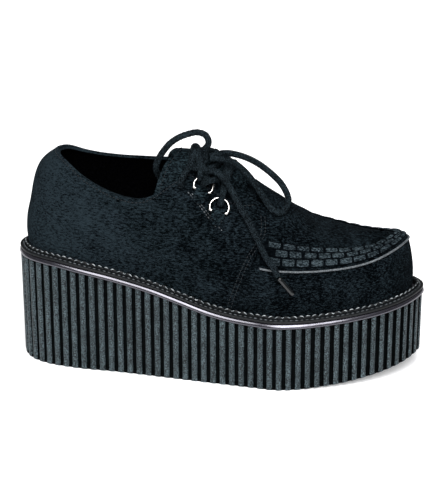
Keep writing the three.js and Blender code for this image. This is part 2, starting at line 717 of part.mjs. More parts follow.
function makeRing() {
  const geometry = new THREE.TorusGeometry(ringRadius, RING_WIRE / 2, WIRE_SIDES, RING_STEPS);
  const position = geometry.getAttribute('position');
  for (let i = 0; i < position.count; i += 1) {
    const turn = Math.atan2(position.getY(i), position.getX(i));
    const middle = ringRadius * Math.sin(turn);
    if (middle < -barDrop) position.setY(i, position.getY(i) - middle - barDrop);
  }
  return geometry;
}

// Tab: a strip of leather folded round the ring's bar, drawn from the side. The bar is at the
// origin, the strip runs back along -Y, and its two layers lie together behind the bar.
function makeTab() {
  const hole = RING_WIRE / 2 + GAP;
  const outside = hole + TAB_WALL;
  const shape = new THREE.Shape();
  shape.moveTo(-TAB_LENGTH, -outside);
  shape.lineTo(0, -outside);
  shape.absarc(0, 0, outside, -Math.PI / 2, Math.PI / 2, false);
  shape.lineTo(-TAB_LENGTH, GAP);
  shape.closePath();
  const tunnel = new THREE.Path();
  tunnel.absarc(0, 0, hole, 0, 2 * Math.PI, true);
  shape.holes.push(tunnel);
  const settings = { depth: TAB_WIDTH, bevelEnabled: false, curveSegments: TAB_STEPS };
  const geometry = new THREE.ExtrudeGeometry(shape, settings);
  geometry.translate(0, 0, -TAB_WIDTH / 2);
  return geometry;
}

// Matrix whose Y runs up the last and whose Z points out of it
function onLast(place, side, stand) {
  const { point, up, out } = lastFrame(place.share, place.level, side);
  const across = new THREE.Vector3().crossVectors(up, out);
  const matrix = new THREE.Matrix4().makeBasis(across, up, out);
  return matrix.setPosition(point.addScaledVector(out, stand));
}

// Lace between the rings: each bar leaves the hole of one ring, passes over its wire, lies across
// the tongue and enters the ring on the other side
const overWire = RING_STAND + (RING_WIRE + LACE) / 2 + 2 * GAP;
const holeMiddle = (ringRadius - barDrop) / 2 + (TAB_WALL + GAP) / 2;
const LACE_LEVEL = 3.72;      // level of the last where a bar leaves the facing
const LACE_LIFT = 3;          // middle of a bar above the last there
const LACE_CREST = 0.9;       // middle of a bar above the last at its ridge

function laceEntry(ring, side) {
  const seat = onLast(ring, side, 0);
  const at = (up, out) => new THREE.Vector3(0, up, out).applyMatrix4(seat);
  return [at(holeMiddle, RING_STAND), at(holeMiddle, overWire), at(ringRadius + LACE / 2, overWire + GAP)];
}

function laceBar(from, to) {
  const crossing = (from.ring.share + to.ring.share) / 2;
  const over = (share, level, side, lift) => {
    const { point, out } = lastFrame(share, level, side);
    return point.addScaledVector(out, lift);
  };
  const points = [
    ...laceEntry(from.ring, from.side),
    over((from.ring.share + crossing) / 2, LACE_LEVEL, from.side, LACE_LIFT),
    over(crossing, RIDGE, OUTER, LACE_CREST),
    over((to.ring.share + crossing) / 2, LACE_LEVEL, to.side, LACE_LIFT),
    ...laceEntry(to.ring, to.side).reverse(),
  ];
  return toSolid(sweptTube(points, LACE / 2, LACE_SIDES, BAR_STEPS));
}

function makeCrossings() {
  const [top, lower] = RING_PLACES;
  const bars = [
    laceBar({ ring: lower, side: OUTER }, { ring: lower, side: INNER }),
    laceBar({ ring: lower, side: OUTER }, { ring: top, side: INNER }),
    laceBar({ ring: top, side: OUTER }, { ring: lower, side: INNER }),
  ];
  return toGeometry(joined(bars));
}

// Bow: the knot and what hangs from it. Points are places on the middle line of the lace.
const KNOT_CENTRE = [-13.3, -10.5, 147.3];

const LOOP_REAR = [
  [-9.4, -10.2, 153.4], [-6.6, -10.2, 158.3], [-8.7, -10.5, 164.2], [-14.5, -11, 166.2], [-20.2, -12, 165.2],
  [-26, -13, 162.9], [-31.1, -14, 159], [-35.7, -14, 152.6], [-39.2, -13, 145.2], [-41, -11, 139.4],
  [-40.4, -7, 133.3], [-37.5, -4, 126.8], [-33.2, -2, 120.6],
];

const LOOP_FRONT = [
  [-5.9, -8.4, 149.4], [2.9, -4, 150.8], [13, -1, 148], [23.3, 1, 142.8], [33.8, 1, 134.9], [41.9, -1, 127.4],
  [46.9, -2, 117.3], [46, -7, 113.5], [43.3, -12, 111.2], [39.7, -15, 111.9], [34.3, -14.5, 116.5],
  [28.9, -13, 124.1], [22.1, -10.9, 133.4], [15.4, -9.9, 140.4], [7.6, -10.9, 145.9], [-5.3, -12, 147.4],
];

const END_OUTER = [
  [-10.2, -18.9, 145.2], [-6.3, -22.9, 143], [-1.5, -24, 143.3], [2.2, -24.3, 141.5], [6.5, -23.9, 136.4],
  [9.6, -23.8, 131.3], [12.2, -24.4, 126.6], [17.9, -27.4, 117.3], [21.9, -29.5, 111.3], [28.5, -35.5, 101.5],
  [34.7, -40, 91], [40.1, -43, 84.9], [42.8, -44, 79.8],
];

const END_INNER = [
  [-14, -3, 152.5], [-15.5, 3, 153], [-17.5, 9, 150.6], [-19.5, 15.2, 144.9], [-21, 21, 137],
  [-21.5, 25.5, 127.8], [-21.5, 28.6, 118], [-21.2, 30.7, 107.5], [-20.8, 32.1, 97], [-20.4, 33, 87],
];

// Which way each stiff tip points
const AGLET_HEADINGS = { outer: [10.5, 0, -12.7], inner: [0.4, 0.6, -10] };

function makeLaceTube(points) {
  const route = points.map((p) => new THREE.Vector3(...p));
  const length = new THREE.CatmullRomCurve3(route, false, 'centripetal').getLength();
  return sweptTube(route, LACE / 2, LACE_SIDES, Math.round(length / LACE_STEP));
}

function makeKnot() {
  const knot = new THREE.SphereGeometry(1, KNOT_SIDES, KNOT_RINGS);
  knot.scale(...KNOT_RADII);
  knot.translate(...KNOT_CENTRE);
  return knot;
}

// The stiff tip of a lace end, in line with its last stretch
function makeAglet(points, heading) {
  const tip = new THREE.Vector3(...points[points.length - 1]);
  const along = new THREE.Vector3(...heading).normalize();
  const radius = AGLET_DIAMETER / 2;
  const geometry = new THREE.CylinderGeometry(radius, radius, AGLET_LENGTH, LACE_SIDES);
  geometry.applyQuaternion(new THREE.Quaternion().setFromUnitVectors(new THREE.Vector3(0, 1, 0), along));
  const middle = tip.addScaledVector(along, AGLET_LENGTH / 2 + 3 * GAP);
  return geometry.translate(middle.x, middle.y, middle.z);
}

// Materials
const finishes = {
  rubber: { color: 0x23272c, roughness: 0.62 },
  rim: { color: 0x2c2d36, roughness: 0.35 },
  welt: { color: 0x1d2024, roughness: 0.6 },
  suede: { color: 0x20262c, roughness: 0.95 },
  leather: { color: 0x1c2126, roughness: 0.8 },
  piping: { color: 0xa9adb3, roughness: 0.6 },
  lining: { color: 0x15161a, roughness: 0.9 },
  lace: { color: 0x3a434c, roughness: 0.9 },
  metal: { color: 0xd8dade, roughness: 0.2, metalness: 1 },
};

const shoe = new THREE.Group();

function place(name, geometry, finish, parent = shoe) {
  const mesh = new THREE.Mesh(geometry, new THREE.MeshStandardMaterial(finishes[finish]));
  mesh.name = name;
  parent.add(mesh);
  return mesh;
}

place('outsole', makeOutsole(), 'rubber');
place('midsole_rim', makeRim(), 'rim');
place('welt', makeWelt(), 'welt');
place('insole', makeInsole(), 'lining');
place('upper', makeUpper(), 'suede');
place('tongue', makeTongue(), 'suede');

const quarters = makeQuarters();
place('quarter_outer', quarters.outer, 'suede');
place('quarter_inner', quarters.inner, 'suede');
place('apron_piping', makePiping(), 'piping');
place('woven_band', makeBand(), 'leather');

for (const ring of RING_PLACES) {
  for (const side of [OUTER, INNER]) {
    const label = `${ring.name}_${side === OUTER ? 'outer' : 'inner'}`;
    const seat = new THREE.Group();
    seat.applyMatrix4(onLast(ring, side, RING_STAND));
    shoe.add(seat);
    place(`ring_${label}`, makeRing(), 'metal', seat);
    const tab = place(`tab_${label}`, makeTab(), 'leather', seat);
    tab.position.set(0, -barDrop, 0);
    tab.rotation.set(Math.PI / 2, Math.PI / 2, 0);
  }
}

place('lace_crossings', makeCrossings(), 'lace');
place('lace_knot', makeKnot(), 'lace');
place('lace_loop_rear', makeLaceTube(LOOP_REAR), 'lace');
place('lace_loop_front', makeLaceTube(LOOP_FRONT), 'lace');
place('lace_end_outer', makeLaceTube(END_OUTER), 'lace');
place('lace_end_inner', makeLaceTube(END_INNER), 'lace');
place('aglet_outer', makeAglet(END_OUTER, AGLET_HEADINGS.outer), 'lace');
place('aglet_inner', makeAglet(END_INNER, AGLET_HEADINGS.inner), 'lace');

export default shoe;
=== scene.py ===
# %% [markdown]
# # A black suede creeper shoe
# This lesson dresses a packed shoe in Blender: a suede upper with an apron toe, a lace run through
# rings, and a tall platform sole with upright ribs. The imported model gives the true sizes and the
# places of the pieces. Everything here stands in the same frame: metres, X from heel to toe, the
# outer side of the foot at -Y, and Z up from the floor.

import json
import math

import bmesh
import bpy
import numpy as np
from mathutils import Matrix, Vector

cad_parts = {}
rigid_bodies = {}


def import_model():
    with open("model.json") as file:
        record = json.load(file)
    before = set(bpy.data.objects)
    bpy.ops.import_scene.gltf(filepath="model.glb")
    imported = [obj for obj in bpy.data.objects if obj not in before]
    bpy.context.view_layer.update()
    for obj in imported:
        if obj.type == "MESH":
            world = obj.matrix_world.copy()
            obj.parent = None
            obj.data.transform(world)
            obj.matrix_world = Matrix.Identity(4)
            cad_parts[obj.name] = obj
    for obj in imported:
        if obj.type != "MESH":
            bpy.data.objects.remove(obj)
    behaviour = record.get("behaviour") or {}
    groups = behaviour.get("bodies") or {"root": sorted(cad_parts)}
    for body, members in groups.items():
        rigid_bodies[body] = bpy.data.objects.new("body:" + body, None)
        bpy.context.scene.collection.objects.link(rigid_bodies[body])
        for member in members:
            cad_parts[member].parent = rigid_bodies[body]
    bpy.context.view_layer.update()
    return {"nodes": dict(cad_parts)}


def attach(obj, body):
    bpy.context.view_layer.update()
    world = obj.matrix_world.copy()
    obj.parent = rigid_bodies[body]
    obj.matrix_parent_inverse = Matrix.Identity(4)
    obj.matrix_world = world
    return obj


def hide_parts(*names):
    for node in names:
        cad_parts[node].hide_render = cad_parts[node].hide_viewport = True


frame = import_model()
METRE = 0.001
print("packed nodes:", len(frame["nodes"]))

# %% [markdown]
# ## Camera
# The photo looks at the outer side of the shoe from a little above, through a long lens. The place
# and the lens are worked out from the sole: its straight heel wall, its length on the floor and
# the turn of the rim round the toe leave only one camera that fits all three.

# %% Camera
CAMERA_PLACE = (0.166565, -1.347704, 0.629944)
CAMERA_AIM = (0.001724, -0.002457, 0.079869)
CAMERA_LENS = 158.76
SENSOR = 36

lens = bpy.data.cameras.new("camera")
lens.lens = CAMERA_LENS
lens.sensor_width = SENSOR
lens.clip_start = 0.05
camera = bpy.data.objects.new("camera", lens)
camera.location = CAMERA_PLACE
look = Vector(CAMERA_AIM) - Vector(CAMERA_PLACE)
camera.rotation_euler = look.to_track_quat("-Z", "Y").to_euler()
bpy.context.scene.collection.objects.link(camera)
bpy.context.scene.camera = camera
print("camera is", round(look.length, 3), "m away")

# %% [markdown]
# ## The last
# A shoe is pulled over a last, a solid foot form. Its surface is drawn here with the same tables
# as in the CAD: an outline of the sole, a profile of its top, and cross sections from heel to toe.
# A point of it is named by a share of the length, a level from the foot of the upper (0) to the
# ridge along the top (4), and a side. Seams and edges are then lines in shares and levels, so a
# panel never leaves the form. It could be sculpted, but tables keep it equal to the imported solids.
# Sizes are in millimetres until a mesh is made.

# %% Tables of the last
SOLE_LENGTH = 268.0
HALF_BALL = 47.5
HEEL_HEIGHT = 77.0
INSTEP_RISE = 90.0
COLLAR_RISE = 69.5
LACING_GAP = 21.5
FEATHER_INSET = 6.2
GAP = 0.3
OUTER = -1
INNER = 1
RIDGE = 4.0
SHOULDER = 2.0
TOE_TIP = 0.147
WALL_BULGE = 1.01
SPAN_STEPS = 40
OUTLINE_STEPS = 48
LAST_EDGE = 0.0005

SOLE_OUTLINE = {
    "share": [0.022, 0.069, 0.146, 0.257, 0.373, 0.485, 0.6, 0.655, 0.71, 0.769, 0.84, 0.925, 0.975],
    "outer": [0.305, 0.495, 0.61, 0.675, 0.768, 0.865, 0.958, 1.0, 0.955, 0.862, 0.726, 0.474, 0.2],
    "inner": [0.335, 0.52, 0.63, 0.68, 0.7, 0.775, 0.905, 0.965, 1.0, 0.985, 0.905, 0.7, 0.46],
}
SOLE_TOP = {
    "share": [
        0, 0.093, 0.183, 0.261, 0.343, 0.418, 0.485, 0.541, 0.6, 0.653, 0.735, 0.81, 0.892, 0.94, 1,
    ],
    "height": [
        1, 0.989, 0.941, 0.89, 0.828, 0.752, 0.683, 0.646, 0.628, 0.623, 0.627, 0.645, 0.675, 0.7, 0.735,
    ],
}
LAST_SECTIONS = {
    "share": [0, 0.1, 0.25, 0.4, 0.5, 0.6, 0.7, 0.8, 0.9, 1],
    "low": [0.344, 0.344, 0.356, 0.367, 0.4, 0.39, 0.365, 0.347, 0.345, 0.395],
    "low_wide": [1, 1.06, 1.02, 0.98, 0.98, 0.97, 0.94, 0.94, 0.94, 0.94],
    "high": [0.678, 0.7, 0.733, 0.756, 0.733, 0.656, 0.585, 0.494, 0.432, 0.413],
    "high_wide": [0.95, 0.93, 0.86, 0.74, 0.68, 0.64, 0.615, 0.615, 0.59, 0.57],
    "ridge": [0.811, 0.833, 0.906, 1, 0.978, 0.85, 0.712, 0.55, 0.476, 0.436],
}
HEEL_SHIFT = [0, -0.009, 0.018, 0.122, 0.444]
TOE_SHIFT = [0, -0.003, -0.044, -0.1, -0.256]
RIDGE_LINE = {"share": [0, 0.3, 0.6, 1], "lean": [0, 0.032, 0.095, 0.147]}
TOPLINE = {
    "share": [-0.05, 0.08, 0.112, 0.135, 0.179, 0.22, 0.255, 0.285, 0.315, 0.345, 0.38, 0.415, 0.45, 0.52],
    "outer": [1, 1, 0.98, 0.94, 0.83, 0.745, 0.69, 0.662, 0.655, 0.69, 0.77, 0.85, 0.92, 1.05],
    "inner": [1, 1, 0.94, 0.892, 0.845, 0.826, 0.82, 0.821, 0.824, 0.83, 0.848, 0.875, 0.925, 1.05],
}
THROAT = {
    "share": [0.36, 0.44, 0.49, 0.535, 0.567, 0.588, 0.66],
    "upper": [0.62, 0.65, 0.74, 0.72, 0.5, 0.02, 0.0],
    "facing": [0.72, 0.8, 0.93, 1, 0.92, 0.8, 0.76],
}
FACING_FRONT = {
    "share": [-0.4, -0.235, -0.065, 0.11, 0.21, 0.28, 0.4, 0.62],
    "along": [0.545, 0.556, 0.574, 0.597, 0.617, 0.63, 0.624, 0.622],
}
print("cross sections of the last:", len(LAST_SECTIONS["share"]))

# %% [markdown]
# ## Points of the last
# Every table is read on a smooth curve through its rows. A point starts at the edge of the foot and
# is moved up and inwards by its level. The way out of the surface comes from two short steps along
# it, which also works where no formula for the slope is at hand.

# %% Functions of the last
def column(table, name, share):
    """Value of one column at a share, on a smooth curve through the rows of a table."""
    x = np.array(table["share"], float)
    y = np.array(table[name], float)
    slope = np.empty_like(y)
    slope[1:-1] = (y[2:] - y[:-2]) / (x[2:] - x[:-2])
    slope[0] = (y[1] - y[0]) / (x[1] - x[0])
    slope[-1] = (y[-1] - y[-2]) / (x[-1] - x[-2])
    s = np.clip(share, x[0], x[-1])
    k = np.clip(np.searchsorted(x, s) - 1, 0, len(x) - 2)
    step = x[k + 1] - x[k]
    t = (s - x[k]) / step
    bend = t * (1 - t) * step * ((1 - t) * slope[k] - t * slope[k + 1])
    return y[k] + (y[k + 1] - y[k]) * t * t * (3 - 2 * t) + bend


def from_heel(share):
    return (share - 0.5) * SOLE_LENGTH


def share_at(x):
    return x / SOLE_LENGTH + 0.5


def sole_top(x):
    return HEEL_HEIGHT * column(SOLE_TOP, "height", share_at(x))


def smooth_span(a, b, c, d, steps):
    """Points from b towards c, on a smooth curve through all four."""
    ab, bc, cd = (np.linalg.norm(q - p) ** 0.5 for p, q in ((a, b), (b, c), (c, d)))
    start = ((b - a) / ab - (c - a) / (ab + bc) + (c - b) / bc) * bc
    end = ((c - b) / bc - (d - b) / (bc + cd) + (d - c) / cd) * bc
    return [
        (2 * t**3 - 3 * t**2 + 1) * b
        + (t**3 - 2 * t**2 + t) * start
        + (3 * t**2 - 2 * t**3) * c
        + (t**3 - t**2) * end
        for t in np.linspace(0, 1, steps, endpoint=False)
    ]


def closed_curve(points, steps):
    """Dense points of a smooth closed curve through some points."""
    points = np.array(points, float)
    dense = []
    for i in range(len(points)):
        dense += smooth_span(*(points[(i + k) % len(points)] for k in (-1, 0, 1, 2)), steps)
    return np.array(dense)


def open_curve(points, spacing):
    """Evenly spaced points of a smooth open curve through some points."""
    points = np.array(points, float)
    padded = np.vstack([2 * points[0] - points[1], points, 2 * points[-1] - points[-2]])
    dense = []
    for i in range(1, len(padded) - 2):
        dense += smooth_span(*padded[i - 1 : i + 3], SPAN_STEPS)
    dense.append(points[-1])
    return spaced(np.array(dense), spacing)


def arc_length(points):
    steps = np.linalg.norm(np.diff(points, axis=0), axis=1)
    return np.concatenate([[0], np.cumsum(steps)])


def spaced(points, spacing):
    """The same line, with points an even distance apart."""
    along = arc_length(points)
    count = max(2, int(round(along[-1] / spacing)) + 1)
    wanted = np.linspace(0, along[-1], count)
    return np.stack([np.interp(wanted, along, points[:, k]) for k in range(points.shape[1])], axis=1)


def outline(grow):
    """The outline of the tread seen from above, grown outwards."""
    table = SOLE_OUTLINE
    outer = [(from_heel(s), -w * HALF_BALL) for s, w in zip(table["share"], table["outer"])]
    inner = [(from_heel(s), w * HALF_BALL) for s, w in zip(table["share"], table["inner"])]
    heel = (from_heel(0), 0)
    toe = (from_heel(1), TOE_TIP * HALF_BALL)
    curve = closed_curve([heel, *outer, toe, *inner[::-1]], OUTLINE_STEPS)
    along = np.roll(curve, -1, axis=0) - np.roll(curve, 1, axis=0)
    along /= np.linalg.norm(along, axis=1)[:, None]
    return curve + np.stack([along[:, 1], -along[:, 0]], axis=1) * grow


foot_ring = outline(-FEATHER_INSET)
FOOT_HEEL = foot_ring[:, 0].min()
FOOT_TOE = foot_ring[:, 0].max()
heel_at = foot_ring[:, 0].argmin()
toe_at = foot_ring[:, 0].argmax()
rolled = np.roll(foot_ring, -heel_at, axis=0)
turn_at = (toe_at - heel_at) % len(foot_ring)
FOOT_EDGE = {
    OUTER: rolled[: turn_at + 1],
    INNER: np.vstack([rolled[turn_at:], rolled[:1]])[::-1],
}


def foot_edge(x, side):
    line = FOOT_EDGE[side]
    order = np.argsort(line[:, 0])
    return np.interp(x, line[order, 0], line[order, 1])


def across_levels(values, level, before, after):
    """Smooth curve through the five level values."""
    stack = np.array([v + np.zeros_like(level) for v in (before, *values, after)])
    k = np.clip(np.floor(level).astype(int), 0, len(values) - 2)
    t = level - k
    a, b, c, d = (np.take_along_axis(stack, (k + i)[None], axis=0)[0] for i in range(4))
    cubic = -a + 3 * b - 3 * c + d
    square = 2 * a - 5 * b + 4 * c - d
    return 0.5 * (2 * b + (c - a) * t + square * t * t + cubic * t**3)


def ridge_y(share):
    return column(RIDGE_LINE, "lean", share) * HALF_BALL


def last_point(share, level, side):
    """Points of the last, for arrays of shares and levels."""
    share, level = np.broadcast_arrays(np.asarray(share, float), np.asarray(level, float))
    foot_x = FOOT_HEEL + share * (FOOT_TOE - FOOT_HEEL)
    low, low_wide, high, high_wide, ridge = (
        column(LAST_SECTIONS, name, share) for name in ("low", "low_wide", "high", "high_wide", "ridge")
    )
    rise = across_levels([0, low / 2, low, high, ridge], level, -low / 2, high)
    width = across_levels([1, WALL_BULGE, low_wide, high_wide, 0], level, WALL_BULGE, -high_wide)
    heel = across_levels(HEEL_SHIFT, level, HEEL_SHIFT[1], 2 * HEEL_SHIFT[4] - HEEL_SHIFT[3])
    toe = across_levels(TOE_SHIFT, level, TOE_SHIFT[1], 2 * TOE_SHIFT[4] - TOE_SHIFT[3])
    edge = foot_edge(foot_x, side)
    middle = np.where((share > 0) & (share < 1), ridge_y(share), edge)
    start = FOOT_HEEL + heel * INSTEP_RISE
    end = FOOT_TOE + toe * INSTEP_RISE
    x = start + share * (end - start)
    return np.stack([x, middle + (edge - middle) * width, sole_top(foot_x) + rise * INSTEP_RISE], axis=-1)


def unit(v):
    return v / np.maximum(np.linalg.norm(v, axis=-1, keepdims=True), 1e-9)


def last_out(share, level, side):
    """The way out of the surface of the last."""
    step = 0.004
    share, level = np.broadcast_arrays(np.asarray(share, float), np.asarray(level, float))
    lower, upper = (np.clip(share + way, LAST_EDGE, 1 - LAST_EDGE) for way in (-step, step))
    along = last_point(upper, level, side) - last_point(lower, level, side)
    up = last_point(share, level + step, side) - last_point(share, np.maximum(level - step, 0), side)
    return unit(np.cross(along, up) * -side)


def on_last(share, level, side, height=0.0):
    return last_point(share, level, side) + last_out(share, level, side) * np.asarray(height)[..., None]


print("foot of the upper runs from", round(FOOT_HEEL, 1), "to", round(FOOT_TOE, 1), "mm")

# %% [markdown]
# ## Edges of the panels
# The collar and the throat are cut out of the form, and the two quarters stop at a front edge that
# curves round the lacing. Each edge is found as a level or a share where a line of the form first
# passes the cut, so a panel can be laid out as a clean grid that ends exactly on its edge. A
# boolean cut would leave ragged triangles there, and a bevel needs clean edges.

# %% Where the panels end
LEVELS = np.linspace(0.0, RIDGE, 321)
BACK_SHARE = 0.09
BACK_BLEND = 0.06
FRONT_RANGE = (0.42, 0.72)


def first_crossing(values, places):
    """For each row, the place where the values first rise through zero."""
    past = values > 0
    index = np.where(past.any(axis=1), past.argmax(axis=1), len(places) - 1)
    index = np.maximum(index, 1)
    rows = np.arange(len(values))
    before = values[rows, index - 1]
    after = values[rows, index]
    span = np.where(np.abs(after - before) < 1e-9, 1.0, after - before)
    t = np.clip(-before / span, 0, 1)
    found = places[index - 1] + t * (places[index] - places[index - 1])
    return np.where(past.any(axis=1), found, places[-1])


def topline_height(x, side):
    """Height of the collar's edge. Both sides share one height round the back of the heel."""
    share = share_at(x)
    outer, inner = (column(TOPLINE, name, share) for name in ("outer", "inner"))
    own = inner if side == INNER else outer
    mean = (outer + inner) / 2
    apart = np.clip((share - BACK_SHARE) / BACK_BLEND, 0, 1)
    height = HEEL_HEIGHT + COLLAR_RISE * (mean + (own - mean) * apart)
    return np.where(share > TOPLINE["share"][-1], 1e3, height)


def half_throat(x, edge):
    share = share_at(x)
    width = LACING_GAP * np.interp(share, THROAT["share"], THROAT[edge])
    last = -1 if edge == "facing" else -2
    inside = (share > THROAT["share"][0]) & (share < THROAT["share"][last])
    return np.where(inside, width, -1.0)


def cut_level(share, side, edge):
    """Level at which the collar or the throat cuts a column of the form."""
    share = np.clip(share, LAST_EDGE, 1 - LAST_EDGE)
    grid_share, grid_level = np.meshgrid(share, LEVELS, indexing="ij")
    p = last_point(grid_share, grid_level, side)
    over = p[..., 2] - topline_height(p[..., 0], side)
    lean = ridge_y((p[..., 0] - FOOT_HEEL) / (FOOT_TOE - FOOT_HEEL))
    throat = half_throat(p[..., 0], edge) - np.abs(p[..., 1] - lean)
    throat = np.where(p[..., 2] < HEEL_HEIGHT, -1.0, throat)
    return first_crossing(np.maximum(over, throat), LEVELS)


FINE_SHARES = 0.5 * (1 - np.cos(np.linspace(0, math.pi, 401)))
CUTS = {
    (side, edge): cut_level(FINE_SHARES, side, edge)
    for side in (OUTER, INNER)
    for edge in ("upper", "facing")
}


def cut_at(share, side, edge):
    return np.interp(share, FINE_SHARES, CUTS[side, edge])


def front_share(level, side, inset=0.0):
    """Share where the front edge of a facing crosses a level."""
    shares = np.linspace(*FRONT_RANGE, 241)
    grid_level, grid_share = np.meshgrid(level, shares, indexing="ij")
    p = last_point(grid_share, grid_level, side)
    rise = (p[..., 2] - HEEL_HEIGHT) / INSTEP_RISE
    return first_crossing(p[..., 0] + inset - from_heel(column(FACING_FRONT, "along", rise)), shares)


print("throat closes at share", round(float(FINE_SHARES[np.argmax(CUTS[OUTER, "upper"] > RIDGE - 0.1)]), 3))

# %% [markdown]
# ## Meshes
# A few small builders make every mesh: one joins a grid of points into a sheet, one sweeps a round
# section along a line, and one adds the finished object to the scene and lets it ride on the shoe.
# A sheet gets its thickness from a solidify modifier, so that a form is drawn only once, and a
# small bevel rounds its cut edges, which then catch the light.

# %% Mesh builders
scene_objects = bpy.context.scene.collection.objects


def add_piece(name, vertices, faces, finish, replaces=()):
    """Makes a mesh piece from points in millimetres."""
    mesh = bpy.data.meshes.new(name)
    places = [tuple(v) for v in np.asarray(vertices, float) * METRE]
    mesh.from_pydata(places, [], [tuple(map(int, f)) for f in faces])
    mesh.validate()
    mesh.polygons.foreach_set("use_smooth", [True] * len(mesh.polygons))
    piece = bpy.data.objects.new(name, mesh)
    scene_objects.link(piece)
    for material in finish if isinstance(finish, (list, tuple)) else [finish]:
        mesh.materials.append(material)
    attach(piece, "root")
    if replaces:
        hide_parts(*replaces)
    return piece


def weld(piece, distance=0.001):
    """Joins points that lie on each other, and turns all faces outwards."""
    shape = bmesh.new()
    shape.from_mesh(piece.data)
    bmesh.ops.remove_doubles(shape, verts=shape.verts, dist=distance * METRE)
    bmesh.ops.recalc_face_normals(shape, faces=shape.faces)
    shape.to_mesh(piece.data)
    shape.free()
    return piece


def grid_faces(rows, columns, start=0, around=False, flip=False):
    """Quads of a grid whose points are listed row by row."""
    faces = []
    last = columns if around else columns - 1
    for r in range(rows - 1):
        for c in range(last):
            a = start + r * columns + c
            b = start + r * columns + (c + 1) % columns
            quad = (a, b, b + columns, a + columns)
            faces.append(quad[::-1] if flip else quad)
    return faces


def sweep_faces(rings, sides, start=0, closed=False):
    """Walls of a swept section, with two end caps or the join of a closed sweep."""
    faces = grid_faces(rings, sides, start, around=True)
    last = start + (rings - 1) * sides
    if closed:
        join = [(last + i, last + (i + 1) % sides, start + (i + 1) % sides, start + i) for i in range(sides)]
        return faces + join
    return faces + [tuple(start + i for i in range(sides))[::-1], tuple(last + i for i in range(sides))]


SHEET_WELD = 0.12


def paired_sheet(name, grids, finish, replaces):
    """One welded sheet from a grid of points for each side of the foot."""
    points = []
    faces = []
    for side, grid in grids.items():
        rows, columns = grid.shape[:2]
        faces += grid_faces(rows, columns, len(points) * rows * columns, flip=side == INNER)
        points.append(grid.reshape(-1, 3))
    return weld(add_piece(name, np.vstack(points), faces, finish, replaces), SHEET_WELD)


def round_edges(piece, width, angle):
    bevel = piece.modifiers.new("edge", "BEVEL")
    bevel.width = width * METRE
    bevel.segments = 2
    bevel.limit_method = "ANGLE"
    bevel.angle_limit = math.radians(angle)
    return piece


def thicken(piece, thickness, offset, lining=False, edge=0.35):
    """Gives a sheet its wall, with the lining inside where it has one, and rounds its edges."""
    solid = piece.modifiers.new("thickness", "SOLIDIFY")
    solid.thickness = thickness * METRE
    solid.offset = offset
    if lining:
        solid.material_offset = 1
        solid.material_offset_rim = 0
    return round_edges(piece, edge, 55)


def frames_along(line, closed=False):
    """Two directions across a line at each of its points, without twist."""
    if closed:
        along = unit(np.roll(line, -1, axis=0) - np.roll(line, 1, axis=0))
    else:
        along = unit(np.gradient(line, axis=0))
    side = np.zeros_like(line)
    start = np.array([0, 0, 1.0]) if abs(along[0][2]) < 0.9 else np.array([1.0, 0, 0])
    side[0] = unit(np.cross(along[0], start))
    for i in range(1, len(line)):
        side[i] = unit(side[i - 1] - along[i] * (side[i - 1] @ along[i]))
    return along, side, np.cross(along, side)


def tube_points(line, radius, sides, closed=False):
    """Rings of points round a line. The radius may be a number or an array of rings by sides."""
    _, side, other = frames_along(line, closed)
    turn = np.linspace(0, 2 * math.pi, sides, endpoint=False)
    radius = np.broadcast_to(radius, (len(line), sides))[..., None]
    round_way = side[:, None] * np.cos(turn)[None, :, None] + other[:, None] * np.sin(turn)[None, :, None]
    return line[:, None] + round_way * radius


def tube(name, line, radius, sides, finish, replaces=(), closed=False):
    rings = tube_points(line, radius, sides, closed)
    faces = sweep_faces(len(line), sides, closed=closed)
    return weld(add_piece(name, rings.reshape(-1, 3), faces, finish, replaces))


print("mesh builders ready")

# %% [markdown]
# ## Shader expressions
# A finish is written as sums and products of a few noise patterns. A small class wraps a socket, so
# that an expression such as 1 - mask adds the Math nodes by itself, and one method adds any other
# node from its type, its settings and the values or links of its sockets.


# %% Shader classes
class Shade:
    """A socket of a material that can be used in an expression of numbers."""

    def __init__(self, finish, socket):
        self.finish = finish
        self.socket = socket

    def maths(self, operation, first, second):
        return self.finish.add("ShaderNodeMath", {"operation": operation}, {0: first, 1: second})

    def __add__(self, other):
        return self.maths("ADD", self, other)

    __radd__ = __add__

    def __sub__(self, other):
        return self.maths("SUBTRACT", self, other)

    def __rsub__(self, other):
        return self.maths("SUBTRACT", other, self)

    def __mul__(self, other):
        return self.maths("MULTIPLY", self, other)

    __rmul__ = __mul__


